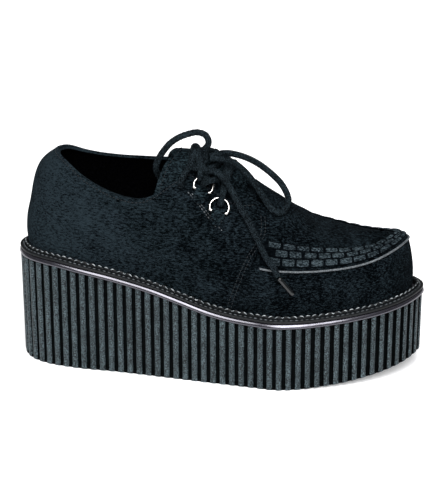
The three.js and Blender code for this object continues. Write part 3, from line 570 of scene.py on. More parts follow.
class Finish:
    """A material, its shader and the nodes that feed it."""

    def __init__(self, name, **fixed):
        self.material = bpy.data.materials.new(name)
        self.material.use_nodes = True
        self.tree = self.material.node_tree
        self.shader = self.tree.nodes["Principled BSDF"]
        self.place = self.add("ShaderNodeTexCoord", output="Object")
        for socket, value in fixed.items():
            self.shader.inputs[socket.replace("_", " ")].default_value = value

    def add(self, kind, settings=None, inputs=None, output=0):
        node = self.tree.nodes.new(kind)
        for name, value in (settings or {}).items():
            setattr(node, name, value)
        for name, value in (inputs or {}).items():
            if isinstance(value, Shade):
                self.tree.links.new(value.socket, node.inputs[name])
            else:
                node.inputs[name].default_value = value
        return Shade(self, node.outputs[output])

    def feed(self, **links):
        for name, value in links.items():
            self.tree.links.new(value.socket, self.shader.inputs[name.replace("_", " ")])
        return self

    def noise(self, size, detail=2.0, roughness=0.5, place=None):
        """Noise from 0 to 1 whose patches are about size millimetres wide."""
        inputs = {"Vector": place or self.place, "Scale": 1 / (size * METRE)}
        inputs.update(Detail=detail, Roughness=roughness)
        return self.add("ShaderNodeTexNoise", {}, inputs, "Fac")

    def stretched(self, x, y, z):
        """The object's own place with each axis scaled."""
        return self.add("ShaderNodeMapping", {}, {"Vector": self.place, "Scale": (x, y, z)})

    def axis(self, name):
        """One coordinate of the object's own place, in metres."""
        return self.add("ShaderNodeSeparateXYZ", {}, {"Vector": self.place}, name)

    def between(self, value, low, high):
        """0 below low, 1 above high, and smooth between."""
        settings = {"interpolation_type": "SMOOTHSTEP"}
        return self.add("ShaderNodeMapRange", settings, {"Value": value, "From Min": low, "From Max": high})

    def blend(self, mask, first, second):
        """Colour from first to second as the mask goes from 0 to 1."""
        inputs = {"Factor": mask, 6: (*first, 1), 7: (*second, 1)}
        return self.add("ShaderNodeMix", {"data_type": "RGBA"}, inputs, 2)

    def bump(self, height, distance, strength=1.0):
        inputs = {"Height": height, "Distance": distance * METRE, "Strength": strength}
        return self.add("ShaderNodeBump", {}, inputs, "Normal")


print("shader classes ready")

# %% [markdown]
# ## Suede
# Suede is the flesh side of a hide, brushed into a short nap. It has no gloss: it shows as a fine
# speckle of lit and shaded fibre ends, in patches where the nap lies one way or the other. Two
# noises give the speckle, a wider one the brushed patches, and the bump follows the speckle so
# that raking light breaks up. The heel is painted a little lighter: a painted light, as if more
# light fell on that end. Hair would be truer close by, but at this distance a speckle looks the
# same and costs nothing.


# %% Suede
FIBRE_SHARE = 0.66
PATCH_SIZE = 16
PATCH_SHARE = 0.2
# How much lighter the heel is painted: a painted light at the heel end.
HEEL_PAINTED_LIGHT = 0.1
HEEL_PAINTED_LIGHT_FADE = (0.02, -0.13)
LIT_RANGE = (0.44, 0.68)
NAP_HEIGHT = 1.1


def make_suede(name, dark, light, grain=1.15):
    """Brushed suede between a dark and a light colour, its fibres about grain millimetres long."""
    sheen = {"Sheen_Weight": 0.012, "Sheen_Roughness": 0.4, "Sheen_Tint": (0.62, 0.74, 0.85, 1)}
    suede = Finish(name, Specular_IOR_Level=0.0, **sheen)
    fibre = suede.noise(grain, 3, 0.7, suede.stretched(0.45, 1.0, 1.3))
    fleck = suede.noise(grain * 0.5, 2, 0.7)
    patch = suede.noise(PATCH_SIZE, 3, 0.6)
    # Painted light: the heel end of the suede is made lighter, as if lit more from that side.
    heel = suede.between(suede.axis("X"), *HEEL_PAINTED_LIGHT_FADE)
    pile = fibre * FIBRE_SHARE + fleck * (1 - FIBRE_SHARE)
    pile = pile + (patch - 0.5) * PATCH_SHARE + heel * HEEL_PAINTED_LIGHT
    suede.feed(
        Base_Color=suede.blend(suede.between(pile, *LIT_RANGE), dark, light),
        Roughness=0.86 + 0.1 * patch,
        Normal=suede.bump(fibre * 0.6 + fleck * 0.4, NAP_HEIGHT, 1.0),
    )
    return suede.material


suede = make_suede("black_suede", (0.0004, 0.0007, 0.0009), (0.0132, 0.0205, 0.0252))
suede_tongue = make_suede("tongue_suede", (0.0006, 0.001, 0.0013), (0.019, 0.031, 0.037))
# Painted light: the blocks of the woven band are a lighter copy of the suede, as if lit on top.
suede_strip_painted_light = make_suede("strip_suede_painted_light", (0.003, 0.0048, 0.006), (0.07, 0.095, 0.108), 0.9)
# Painted shade: the sheet under the blocks is a darker copy of the suede, shade in the slits.
suede_band_painted_shade = make_suede("band_suede_painted_shade", (0.0008, 0.0012, 0.0016), (0.004, 0.006, 0.0075), 0.9)
print("suede ready")

# %% [markdown]
# ## Lining, rubber and trim
# The lining is nearly black inside the shoe. The ribbed wall is moulded rubber with a fine matte
# grain; the rim above it is the same rubber polished smooth, so it draws a bright line of light.
# Piping, thread and lace are textile: dull, with a fine twist. The rings are nickel. One function
# makes them all from a row of a table: two colours, the size of the speckle, its relief, the
# roughness, and what is set once for the whole surface.


# %% Lining, rubber and trim
def make_plain(name, dark, light, size, relief, rough, fixed):
    """A finish with one speckle of colour and the same speckle as relief."""
    plain = Finish(name, **fixed)
    speckle = plain.noise(size, 3, 0.6)
    cloud = plain.noise(size * 14, 2, 0.5)
    lit = plain.between(speckle * 0.88 + cloud * 0.12, 0.42, 0.68)
    plain.feed(
        Base_Color=plain.blend(lit, dark, light),
        Roughness=rough + 0.12 * (cloud - 0.5),
        Normal=plain.bump(speckle, relief),
    )
    return plain.material


NO_GLOSS = {"Specular_IOR_Level": 0.0}
POLISHED = {"IOR": 1.95, "Specular_Tint": (0.9, 0.88, 1, 1)}
FINISHES = {
    "black_lining": ((0.0003, 0.0003, 0.0004), (0.001, 0.001, 0.0013), 1.2, 0.1, 0.85, NO_GLOSS),
    "rib_rubber": ((0.0028, 0.0045, 0.0054), (0.092, 0.128, 0.142), 0.7, 0.6, 0.48, {"IOR": 1.25}),
    # Painted shade: a near-black copy of the rib rubber for the faces inside the grooves.
    "painted_groove_shade": ((0.0004, 0.0006, 0.0007), (0.002, 0.0028, 0.0032), 0.7, 0.3, 0.7, {"IOR": 1.08}),
    "rim_rubber": ((0.003, 0.003, 0.0045), (0.006, 0.006, 0.009), 2.5, 0.02, 0.22, POLISHED),
    "welt_rubber": ((0.001, 0.0015, 0.0018), (0.006, 0.008, 0.0095), 0.9, 0.12, 0.5, {"IOR": 1.3}),
    "grey_piping": ((0.03, 0.037, 0.042), (0.12, 0.135, 0.145), 0.9, 0.12, 0.6, {}),
    "black_thread": ((0.002, 0.003, 0.0038), (0.014, 0.019, 0.023), 0.6, 0.05, 0.55, {"IOR": 1.3}),
    "welt_thread": ((0.012, 0.015, 0.017), (0.1, 0.115, 0.125), 1.6, 0.05, 0.5, {}),
    # Painted highlight: light bars on the crests of the gimped strip, where its edge catches the light.
    "painted_crest_highlight": ((0.14, 0.16, 0.17), (0.42, 0.45, 0.46), 3.0, 0.05, 0.5, {}),
    "lace_braid": ((0.0006, 0.001, 0.0013), (0.021, 0.031, 0.037), 0.6, 0.3, 0.8, {"IOR": 1.08}),
    "tip_plastic": ((0.002, 0.0028, 0.0032), (0.005, 0.0065, 0.0075), 3, 0.01, 0.16, {}),
    "nickel": ((0.4, 0.39, 0.37), (0.5, 0.48, 0.46), 1.5, 0.01, 0.15, {"Metallic": 1.0}),
}
made = [make_plain(name, *row) for name, row in FINISHES.items()]
lining, rubber, painted_groove_shade, rim_rubber, welt_rubber, piping_cloth = made[:6]
thread, welt_thread, painted_crest_highlight, lace_cloth, tip_plastic, nickel = made[6:]
print("finishes:", len(bpy.data.materials))

# %% [markdown]
# ## Ribbed sole
# The platform is one block with an upright rib every 6.4 mm all the way round. Each rib is a broad
# round ridge, and the groove between two ribs is narrow and deep, which is why it lies in shade. The
# wall is a stack of rings that follow the ribs and lean out a little with height, and the grooves
# run out at the foot. The faces inside a groove are painted near black, a painted shade on top of
# the shade that the depth gives. The tread is closed with rings that step in to the middle line.
# Ribs laid along a curve would need a seam at the heel, while this block closes on itself.

# %% Ribbed sole
RIB_PITCH = 6.4
RIB_DEPTH = 1.6
WALL_FLARE = 0.012
RIM_HEIGHT = 3.2
SPRING_START = 0.65
TOE_SPRING = 12.7
TREAD_PITCH = 15
TREAD_WIDTH = 3
TREAD_DEPTH = 1.6
TREAD_MARGIN = 9
WALL_RINGS = 14
EDGE_ROUND = 0.9
SMOOTH_INSET = 4.2
CLOSING = [1.0, 0.62, 0.28, 0.06]
SHARP_EDGE = 42

base_line = spaced(np.vstack([outline(0), outline(0)[:1]]), 0.25)
base_length = arc_length(base_line)[-1]
rib_count = int(round(base_length / RIB_PITCH))


def outline_at(share, grow):
    """Points of the outline at shares of the way round, grown outwards."""
    along = arc_length(base_line)
    here, ahead, behind = (
        np.stack([np.interp(((share + d) % 1) * base_length, along, base_line[:, k]) for k in (0, 1)], axis=1)
        for d in (0, 0.001, -0.001)
    )
    way = unit(ahead - behind)
    grow = np.broadcast_to(grow, share.shape)[:, None]
    return here + np.stack([way[:, 1], -way[:, 0]], axis=1) * grow


def tread_height(x):
    past = np.maximum(0, (share_at(x) - SPRING_START) / (1 - SPRING_START))
    return TOE_SPRING * past * past


def lid_height(x):
    return sole_top(x) - RIM_HEIGHT - GAP


# One rib, as shares of the pitch and of RIB_DEPTH. The groove goes a little deeper than in the
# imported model, so that it stays dark.
RIB_SHAPE = {
    "share": [0, 0.04, 0.11, 0.2, 0.32, 0.43, 0.52, 0.58, 0.62, 0.66, 0.97, 1.0],
    "depth": [0.85, 0.4, 0.15, 0.02, 0, 0.1, 0.28, 0.52, 0.85, 1.4, 1.4, 0.85],
}
# Faces of each rib that sit in the groove; they are painted dark as shade.
GROOVE_SHADE_FACES = {0, 8, 9, 10}
rib_places = np.array(RIB_SHAPE["share"][:-1])
rib_depths = np.array(RIB_SHAPE["depth"][:-1])
around = (np.arange(rib_count)[:, None] + rib_places[None, :]).ravel() / rib_count
depths = np.tile(rib_depths, rib_count) * RIB_DEPTH


def wall_ring(height_share, inset, cut=1.0):
    """One ring of the wall. The grooves run out at the foot, where cut is less than 1."""
    sunk = depths * cut
    plan = outline_at(around, -sunk - inset)
    low = tread_height(plan[:, 0])
    z = low + height_share * (lid_height(plan[:, 0]) - low)
    plan = outline_at(around, z * WALL_FLARE - sunk - inset)
    return np.column_stack([plan, z])


# Share of the height, inset, and share of the groove's depth, for the rings of the rounded foot.
WALL_FOOT = [(0.0, EDGE_ROUND, 0.3), (0.008, EDGE_ROUND * 0.3, 0.33), (0.02, 0, 0.4), (0.034, 0, 1.0)]
rings = [wall_ring(*row) for row in WALL_FOOT]
rings += [wall_ring(s, 0) for s in np.linspace(0.08, 0.98, WALL_RINGS)]
rings += [wall_ring(1.0, 0.3)]
ring_size = len(around)


def closing_rings(height):
    """Smooth rings inside the wall that narrow to the middle line, at a height for each x."""
    plan = outline_at(around, -SMOOTH_INSET)
    closed = []
    for narrow in CLOSING:
        ring = plan * [1.0, narrow]
        closed.append(np.column_stack([ring, height(ring[:, 0])]))
    return closed


def zip_faces(start, count, flip=False):
    """Faces that close a narrow ring from its heel to its toe."""
    faces = [(start, start + 1, start + count - 1)]
    for i in range(1, (count - 1) // 2):
        faces.append((start + i, start + i + 1, start + count - i - 1, start + count - i))
    return [f[::-1] for f in faces] if flip else faces


stack = [*closing_rings(tread_height)[::-1], *rings, *closing_rings(lid_height)]
sole_faces = grid_faces(len(stack), ring_size, around=True)
sole_faces += zip_faces(0, ring_size, flip=True)
sole_faces += zip_faces((len(stack) - 1) * ring_size, ring_size)
sole = add_piece("ribbed_sole", np.vstack(stack), sole_faces, rubber, ["outsole"])
# The faces inside the grooves get the near-black rubber, a painted shade.
sole.data.materials.append(painted_groove_shade)
wall_faces = (len(stack) - 1) * ring_size
in_groove_shade = [
    int(i < wall_faces and (i % ring_size) % len(rib_places) in GROOVE_SHADE_FACES) for i in range(len(sole_faces))
]
sole.data.polygons.foreach_set("material_index", in_groove_shade)
weld(sole)
print("ribs:", rib_count, "points a ring:", ring_size)

# %% [markdown]
# ## Channels of the tread
# The tread has plain channels across it, under the heel and under the forefoot. One mesh of boxes,
# each as long as the tread is wide there, is taken away from the block in a single boolean cut,
# which leaves the rings of the wall as they are.

# %% Channels of the tread
TREAD_ZONES = [(0.06, 0.3), (0.45, 0.9)]
READ_WIDTH = 3
CUTTER_BELOW = 4
channel_points = []
channel_faces = []
box = [(0, 1, 2, 3)[::-1], (4, 5, 6, 7), (0, 1, 5, 4), (1, 2, 6, 5), (2, 3, 7, 6), (3, 0, 4, 7)]
field = outline(-TREAD_MARGIN)
for zone_start, zone_end in TREAD_ZONES:
    for step in range(int((zone_end - zone_start) * SOLE_LENGTH / TREAD_PITCH) + 1):
        x = from_heel(zone_start) + step * TREAD_PITCH
        near = field[np.abs(field[:, 0] - x) < READ_WIDTH]
        low_y = near[:, 1].min()
        high_y = near[:, 1].max()
        if high_y - low_y < 2 * TREAD_MARGIN:
            continue
        corners = [(x - TREAD_WIDTH / 2, low_y), (x + TREAD_WIDTH / 2, low_y)]
        corners += [(x + TREAD_WIDTH / 2, high_y), (x - TREAD_WIDTH / 2, high_y)]
        base = tread_height(x)
        start = len(channel_points)
        channel_points += [(a, b, base - CUTTER_BELOW) for a, b in corners]
        channel_points += [(a, b, base + TREAD_DEPTH) for a, b in corners]
        channel_faces += [tuple(start + i for i in f) for f in box]
cutter_mesh = bpy.data.meshes.new("channels")
cutter_mesh.from_pydata([tuple(METRE * c for c in p) for p in channel_points], [], channel_faces)
cutter = bpy.data.objects.new("channels", cutter_mesh)
scene_objects.link(cutter)
carve = sole.modifiers.new("channels", "BOOLEAN")
carve.operation = "DIFFERENCE"
carve.solver = "EXACT"
carve.object = cutter
bpy.context.view_layer.update()
carved = bpy.data.meshes.new_from_object(sole.evaluated_get(bpy.context.evaluated_depsgraph_get()))
sole.modifiers.clear()
sole.data = carved
sole.data.set_sharp_from_angle(angle=math.radians(SHARP_EDGE))
bpy.data.objects.remove(cutter)
print("sole faces:", len(sole.data.polygons))

# %% [markdown]
# ## Rim and welt
# Above the ribs runs a smooth polished rim, then a flat welt with a row of stitches, then a gimped
# strip: a narrow band with a scalloped top edge that stands against the foot of the upper. Each is
# a section swept round the outline and lifted to the sole's profile. The strip's top is waved by
# the sweep itself, and further down a short light bar is laid over the top of each wave as a
# painted highlight on its crest. A curve with a bevel would keep one height, and the sole's top
# rises towards the heel.

# %% Rim and welt
WELT_WALL = 1.6
WELT_PROUD = 1.0
WELT_ROUND = 0.5
LIP_INSET = 3.8
LIP_WALL = 1.1
LIP_RISE = 2.6
SCALLOP_PITCH = 4.9
SCALLOP_SHAPE = 0.7
SCALLOP_HEIGHT = 1.6
SWEEP_STEPS = 720

scallops = int(round(base_length / SCALLOP_PITCH))


def all_round(steps):
    """Shares of the way round, without the last one, which would be the first again."""
    return np.linspace(0, 1, steps + 1)[:-1]


def scallop_wave(share):
    return np.abs(np.sin(math.pi * scallops * share)) ** SCALLOP_SHAPE


def swept_section(name, section, share, finish, replaces):
    """Sweeps a closed section of (out, up) pairs round the outline."""
    loops = []
    for out, up in section:
        plan = outline_at(share, out)
        loops.append(np.column_stack([plan, sole_top(plan[:, 0]) + up]))
    points = np.stack(loops, axis=1).reshape(-1, 3)
    faces = sweep_faces(len(share), len(section), closed=True)
    return weld(add_piece(name, points, faces, finish, replaces))


def round_edge(centre, radius, start, end, steps):
    """Points of an arc, as (out, up) pairs."""
    turns = np.radians(np.linspace(start, end, steps))
    return [(centre[0] + radius * math.cos(t), centre[1] + radius * math.sin(t)) for t in turns]


# The broad slanted face of the rim is what draws its bright line.
RIM_SECTION = [
    (-9, -RIM_HEIGHT), (0.9, -RIM_HEIGHT), (1.3, -3.1), (1.54, -2.85), (1.6, -2.5), (1.52, -2.1),
    (1.34, -1.6), (1.08, -1.1), (0.76, -0.65), (0.4, -0.3), (0, -0.08), (-0.4, 0), (-9, 0),
]  # fmt: skip
swept_section("polished_rim", RIM_SECTION, all_round(SWEEP_STEPS), rim_rubber, ["midsole_rim"])

flange_top = GAP + WELT_WALL
lip_front = -LIP_INSET + LIP_WALL
welt_front = WELT_PROUD - WELT_ROUND
welt_section = [
    (lip_front, GAP),
    *round_edge((welt_front, GAP + WELT_ROUND), WELT_ROUND, -90, 0, 3),
    *round_edge((welt_front, flange_top - WELT_ROUND), WELT_ROUND, 0, 90, 4),
    (-0.9, flange_top),
    (-1.3, flange_top - 0.35),
    (-1.7, flange_top),
    (lip_front + 0.3, flange_top - 0.1),
]
swept_section("stitched_welt", welt_section, all_round(SWEEP_STEPS), welt_rubber, ["welt"])

strip_share = all_round(2 * SWEEP_STEPS)
wave = scallop_wave(strip_share)
lip_top = flange_top + LIP_RISE - SCALLOP_HEIGHT + SCALLOP_HEIGHT * wave
lip_section = [
    (-LIP_INSET, GAP),
    (lip_front, GAP),
    (lip_front, flange_top - 0.2),
    (lip_front + 0.35 * wave, lip_top - 0.9),
    (lip_front + 0.25 * wave - 0.2, lip_top - 0.1),
    (-LIP_INSET + LIP_WALL * 0.5, lip_top),
    (-LIP_INSET, lip_top - 0.3),
]
swept_section("gimped_strip", lip_section, strip_share, welt_rubber, [])
print("scallops:", scallops)

# %% [markdown]
# ## Stitches
# A row of stitches is a line of short thread bars that dip into the leather at both ends. One
# builder lays such bars along any line, with the way out of the surface at each point. It is used
# for the welt here, for the light bars painted as highlights on the crests of the gimped strip, and
# later for every seam of the upper. An array along a curve would do too, but its bars lean in tight
# bends.


# %% Stitches
STITCH_SIDES = 6
STITCH_PROFILE = [(-0.5, 0.35, -0.5), (-0.36, 0.9, 0.1), (0, 1.0, 0.35), (0.36, 0.9, 0.1), (0.5, 0.35, -0.5)]


def stitch_mesh(line, out, length, pitch, radius):
    """Points and faces of a row of stitches along a line."""
    along = arc_length(line)

    def read(values, d):
        return np.array([np.interp(d, along, values[:, i]) for i in range(3)])

    vertices = []
    faces = []
    for k in range(int(along[-1] / pitch)):
        start = len(vertices)
        for share, wide, lift in STITCH_PROFILE:
            d = (k + 0.5) * pitch + share * length
            up = unit(read(out, d))
            across = unit(np.cross(unit(read(line, d + 0.2) - read(line, d - 0.2)), up))
            for s in range(STITCH_SIDES):
                turn = 2 * math.pi * s / STITCH_SIDES
                ring = across * math.cos(turn) + up * math.sin(turn)
                vertices.append(read(line, d) + up * radius * lift + ring * radius * wide)
        faces += sweep_faces(len(STITCH_PROFILE), STITCH_SIDES, start)
    return vertices, faces


def stitch_rows(name, rows, finish, slot="piping", **sizes):
    """One piece made of several rows of stitches, each a line and the way out of the surface."""
    vertices = []
    faces = []
    for line, out in rows:
        more, quads = stitch_mesh(line, out, **sizes)
        faces += [tuple(i + len(vertices) for i in q) for q in quads]
        vertices += more
    return add_piece(name, vertices, faces, finish)


WELT_SEAM = 1.3
WELT_SEAM_STEPS = 900
seam_plan = outline_at(np.linspace(0, 1, WELT_SEAM_STEPS), -WELT_SEAM)
welt_line = np.column_stack([seam_plan, sole_top(seam_plan[:, 0]) + flange_top - 0.2])
straight_up = np.tile([0.0, 0.0, 1.0], (WELT_SEAM_STEPS, 1))
stitch_rows("welt_stitches", [(welt_line, straight_up)], welt_thread, length=2.4, pitch=3.4, radius=0.5)

# The crests get short light bars, a painted highlight on the top of each wave.
CREST_LENGTH = 2.7
CREST_LEAN = 0.5
CREST_RISE = 0.85
crest_share = np.linspace(0, 1, 4 * SWEEP_STEPS + 1)
crest_wave = scallop_wave(crest_share)
crest_plan = outline_at(crest_share, lip_front + 0.15 * crest_wave)
crest_height = flange_top + LIP_RISE - SCALLOP_HEIGHT + (SCALLOP_HEIGHT - 0.2) * crest_wave
crest_line = np.column_stack([crest_plan, sole_top(crest_plan[:, 0]) + crest_height])
crest_way = np.gradient(crest_plan, axis=0)
crest_out = unit(np.column_stack([crest_way[:, 1], -crest_way[:, 0]])) * CREST_LEAN
crest_out = np.column_stack([crest_out, np.full(len(crest_out), CREST_RISE)])
crest_sizes = {"length": CREST_LENGTH, "pitch": base_length / scallops, "radius": 0.3}
stitch_rows("painted_crest_highlights", [(crest_line, crest_out)], painted_crest_highlight, **crest_sizes)
print("welt stitches laid")

# %% [markdown]
# ## Upper
# The upper is one leather wall from the foot to the collar, closed over the toe. It is laid out as
# columns that climb the form and stop at the collar, at the throat, or at the ridge where the two
# sides meet. A solidify modifier grows it inwards to its real 1.7 mm, with the lining as the
# finish of the inside. A few soft troughs cross the vamp where the foot bends.

# %% Upper
WALL = 1.7
COLUMNS = 150
ROWS = 56
FOOT_LEVEL = 0.02


def spread(count):
    """Shares of the length, closer together at heel and toe."""
    return 0.5 * (1 - np.cos(np.linspace(0, math.pi, count)))


VAMP_FOOT = 84
VAMP_FADE = 16
CREASE_SWAY = 1.2
SWAY_LENGTH = 7.0
CREASES = [
    {"x": 41, "lean": 0.16, "depth": 0.55, "wide": 3.2},
    {"x": 50, "lean": -0.1, "depth": 0.45, "wide": 3.6},
    {"x": 60, "lean": 0.08, "depth": 0.35, "wide": 4.4},
]


def vamp_creases(p):
    """How far the vamp sinks in its soft creases, in millimetres."""
    sink = np.zeros(p.shape[:-1])
    for crease in CREASES:
        line = crease["x"] + crease["lean"] * p[..., 1] + CREASE_SWAY * np.sin(p[..., 1] / SWAY_LENGTH)
        across = (p[..., 0] - line) / crease["wide"]
        height = np.clip((p[..., 2] - VAMP_FOOT) / VAMP_FADE, 0, 1)
        sink += crease["depth"] * np.exp(-across * across) * height
    return sink


def upper_side(side):
    """Grid of one side of the upper, from its foot to where it is cut or meets the other side."""
    share, climb = np.meshgrid(spread(COLUMNS), np.linspace(0, 1, ROWS), indexing="ij")
    top = cut_at(share, side, "upper")
    level = FOOT_LEVEL + climb * (top - FOOT_LEVEL)
    p = last_point(share, level, side)
    return p - last_out(share, level, side) * vamp_creases(p)[..., None]


upper_grids = {side: upper_side(side) for side in (OUTER, INNER)}
upper = paired_sheet("suede_upper", upper_grids, [suede, lining], ["upper"])
thicken(upper, WALL, -1, lining=True)
print("upper:", len(upper.data.vertices), "points before its wall")

# %% [markdown]
# ## Quarters
# The two quarters lie over the upper from the back seam to the front edge of the lacing. Each is a
# sheet 0.3 mm off the upper, grown outwards to 1.3 mm, so its cut edge stands proud and catches the
# light as in the photo. The grid follows the topline above and the curved front edge, found by a
# few rounds of stepping to the right share and level.

# %% Quarters
QUARTER_WALL = 1.3
QUARTER_COLUMNS = 110
QUARTER_ROWS = 60
SETTLE_ROUNDS = 24
front_levels = np.linspace(0, RIDGE, 200)
FRONTS = {side: front_share(front_levels, side) for side in (OUTER, INNER)}


def quarter_places(side, inset=0.0, drop=0.0, columns=QUARTER_COLUMNS, rows=QUARTER_ROWS):
    """Shares and levels of a quarter's grid, or of a line inside its edges."""
    run = 1 - np.cos(np.linspace(0, math.pi / 2, columns))
    run, climb = np.meshgrid(run, np.linspace(0, 1, rows), indexing="ij")
    front = FRONTS[side] if inset == 0 else front_share(front_levels, side, inset)
    level = climb * 3.0
    share = run * 0.55
    for _ in range(SETTLE_ROUNDS):
        top = cut_at(share, side, "facing") - drop
        level = 0.6 * level + 0.4 * (FOOT_LEVEL + climb * (top - FOOT_LEVEL))
        share = 0.5 * share + 0.5 * run * np.interp(level, front_levels, front)
    return share, level


PUCKER_LEAN = 0.5
PUCKERS = [
    {"x": 1, "z": 96, "wide": 6, "tall": 14, "rise": 0.7},
    {"x": 14, "z": 90, "wide": 4, "tall": 12, "rise": -0.6},
    {"x": 24, "z": 80, "wide": 4, "tall": 10, "rise": 0.5},
    {"x": -70, "z": 112, "wide": 26, "tall": 16, "rise": -0.5},
]


def puckers(p):
    """Soft swells and hollows of the quarter, in millimetres."""
    rise = np.zeros(p.shape[:-1])
    for swell in PUCKERS:
        x = (p[..., 0] - swell["x"] - PUCKER_LEAN * (p[..., 2] - swell["z"])) / swell["wide"]
        z = (p[..., 2] - swell["z"]) / swell["tall"]
        rise += swell["rise"] * np.exp(-x * x - z * z)
    return rise


quarter_grids = {}
for side in (OUTER, INNER):
    share, level = quarter_places(side)
    height = GAP + np.maximum(puckers(last_point(share, level, side)), -0.1)
    quarter_grids[side] = on_last(share, level, side, height)
quarter_nodes = ["quarter_outer", "quarter_inner"]
quarters = paired_sheet("suede_quarters", quarter_grids, suede, quarter_nodes)
thicken(quarters, QUARTER_WALL, 1, edge=0.4)
print("quarters:", len(quarters.data.vertices), "points before their wall")

# %% [markdown]
# ## Stitching of the quarters
# The photo shows a row of stitches just under the topline, two rows along the front edge of the
# facings, and a double row that runs down beside the rings and holds the stay behind them. Each
# row is a line of shares and levels, so it keeps its distance from the edge it belongs to.

# %% Stitching of the quarters
STITCH_HEIGHT = GAP + QUARTER_WALL + 0.05
TOPLINE_DROP = 0.06
FACING_INSETS = (2.6, 5.0)
STAY_LINE = {"share": [0.414, 0.436, 0.456, 0.48, 0.512], "level": [3.05, 2.96, 2.88, 2.76, 2.6]}
STAY_SHIFTS = (0.0, 0.011)


def surface_row(share, level, side, height=STITCH_HEIGHT):
    return on_last(share, level, side, np.full(np.shape(share), height)), last_out(share, level, side)


seam_rows = []
stay_rows = []
for side in (OUTER, INNER):
    share, level = quarter_places(side, drop=TOPLINE_DROP, rows=3)
    seam_rows.append(surface_row(share[:-4, -1], level[:-4, -1], side))
    for inset in FACING_INSETS:
        share, level = quarter_places(side, inset=inset, columns=3, rows=120)
        seam_rows.append(surface_row(share[-1, 2:-6], level[-1, 2:-6], side))
    for shift in STAY_SHIFTS:
        share = np.linspace(STAY_LINE["share"][0], STAY_LINE["share"][-1], 40)
        level = np.interp(share, STAY_LINE["share"], STAY_LINE["level"])
        stay_rows.append(surface_row(share + shift, level, side))
stitch_rows("quarter_stitches", seam_rows, thread, length=1.9, pitch=2.5, radius=0.3)
stitch_rows("stay_stitches", stay_rows, welt_thread, length=1.7, pitch=2.3, radius=0.42)
print("rows of stitches:", len(seam_rows) + len(stay_rows))

# %% [markdown]
# ## Tongue
# The tongue lies inside the throat, 3.2 mm thick with its padding, and shows above the facings. It
# is cut from the same form as the upper, a wall's thickness lower down, with a straight slanted
# back edge that rounds over at the top. A stitched line follows that edge.

# %% Tongue
TONGUE_WALL = 3.2
TONGUE_SINK = WALL + GAP
# Here the first row of a table holds heights for the back edge, and places along the foot for the
# low edge.
TONGUE_BACK = {"share": [100, 118, 134, 143, 148, 152], "along": [-47, -42.6, -38.3, -35.2, -31.5, -27]}
TONGUE_FRONT = 30.5
TONGUE_LOW = {"share": [-48, 0, 31], "height": [103.5, 102.4, 109.0]}
TONGUE_RANGE = (0.25, 0.72)
TONGUE_ROUNDS = 16


def tongue_places(rows, columns, edge=0.0):
    """Shares and levels of the tongue, from its low edge to the ridge and from back to front."""
    shares = np.linspace(*TONGUE_RANGE, 300)
    lows = {}
    grid = np.linspace(2.0, RIDGE, 200)
    for side in (OUTER, INNER):
        a, b = np.meshgrid(shares, grid, indexing="ij")
        p = last_point(a, b, side)
        lows[side] = first_crossing(p[..., 2] - column(TONGUE_LOW, "height", p[..., 0]) - edge, grid)
    backs = {}
    fronts = {}
    for side in (OUTER, INNER):
        b, a = np.meshgrid(grid, shares, indexing="ij")
        p = last_point(a, b, side)
        backs[side] = first_crossing(p[..., 0] - column(TONGUE_BACK, "along", p[..., 2]) - edge, shares)
        fronts[side] = first_crossing(p[..., 0] - TONGUE_FRONT + edge, shares)
    placed = {}
    for side in (OUTER, INNER):
        run, climb = np.meshgrid(np.linspace(0, 1, columns), np.linspace(0, 1, rows), indexing="ij")
        level = 2.6 + climb * 1.4
        share = 0.35 + 0.25 * run
        for _ in range(TONGUE_ROUNDS):
            low = np.interp(share, shares, lows[side])
            level = 0.5 * level + 0.5 * (low + climb * (RIDGE - low))
            back = np.interp(level, grid, backs[side])
            front = np.interp(level, grid, fronts[side])
            share = 0.5 * share + 0.5 * (back + run * (front - back))
        placed[side] = (share, level)
    return placed


TONGUE_COLUMNS = 60
TONGUE_ROWS = 44
tongue_grids = {
    side: on_last(share, level, side, np.full(share.shape, -TONGUE_SINK))
    for side, (share, level) in tongue_places(TONGUE_ROWS, TONGUE_COLUMNS).items()
}
tongue = paired_sheet("suede_tongue", tongue_grids, [suede_tongue, lining], ["tongue"])
thicken(tongue, TONGUE_WALL, -1, lining=True, edge=0.9)

TONGUE_SEAM = 3.0
tongue_rows = [
    surface_row(share[0], level[0], side, -TONGUE_SINK + 0.05)
    for side, (share, level) in tongue_places(40, 30, edge=TONGUE_SEAM).items()
]
stitch_rows("tongue_stitches", tongue_rows, thread, length=2.0, pitch=2.8, radius=0.28)
print("tongue:", len(tongue.data.vertices), "points")

# %% [markdown]
# ## Insole
# The insole is a flat pad inside the upper. It is a ring of points in the outline of the foot,
# rounded at its top edge and closed with rings that step to the middle. Little of it is ever seen,
# so it stays plain.

# %% Insole
INSOLE_WALL = 3.0
INSOLE_INSET = FEATHER_INSET + WALL + 4 * GAP
insole_share = all_round(240)


def insole_ring(grow, up, squeeze=1.0):
    plan = outline_at(insole_share, grow - INSOLE_INSET) * squeeze
    return np.column_stack([plan, sole_top(plan[:, 0]) + GAP + up])


insole_rings = [insole_ring(-0.4, 0, k) for k in (0.04, 0.5, 1)]
insole_rings += [insole_ring(0, 0.5), insole_ring(0, INSOLE_WALL - 0.8)]
insole_rings += [insole_ring(-0.8, INSOLE_WALL, k) for k in (1, 0.8, 0.5, 0.25, 0.04)]
insole_faces = sweep_faces(len(insole_rings), len(insole_share))
insole = weld(add_piece("insole_pad", np.vstack(insole_rings), insole_faces, lining, ["insole"]))
print("insole points:", len(insole.data.vertices))

# %% [markdown]
# ## Apron piping
# A thin grey piping marks the seam of the apron, from one facing round the toe to the other. The
# seam is the line of the shoulder on the last. It could be a curve object with a bevel, but a swept
# tube is a mesh from the start and takes its places from the form.

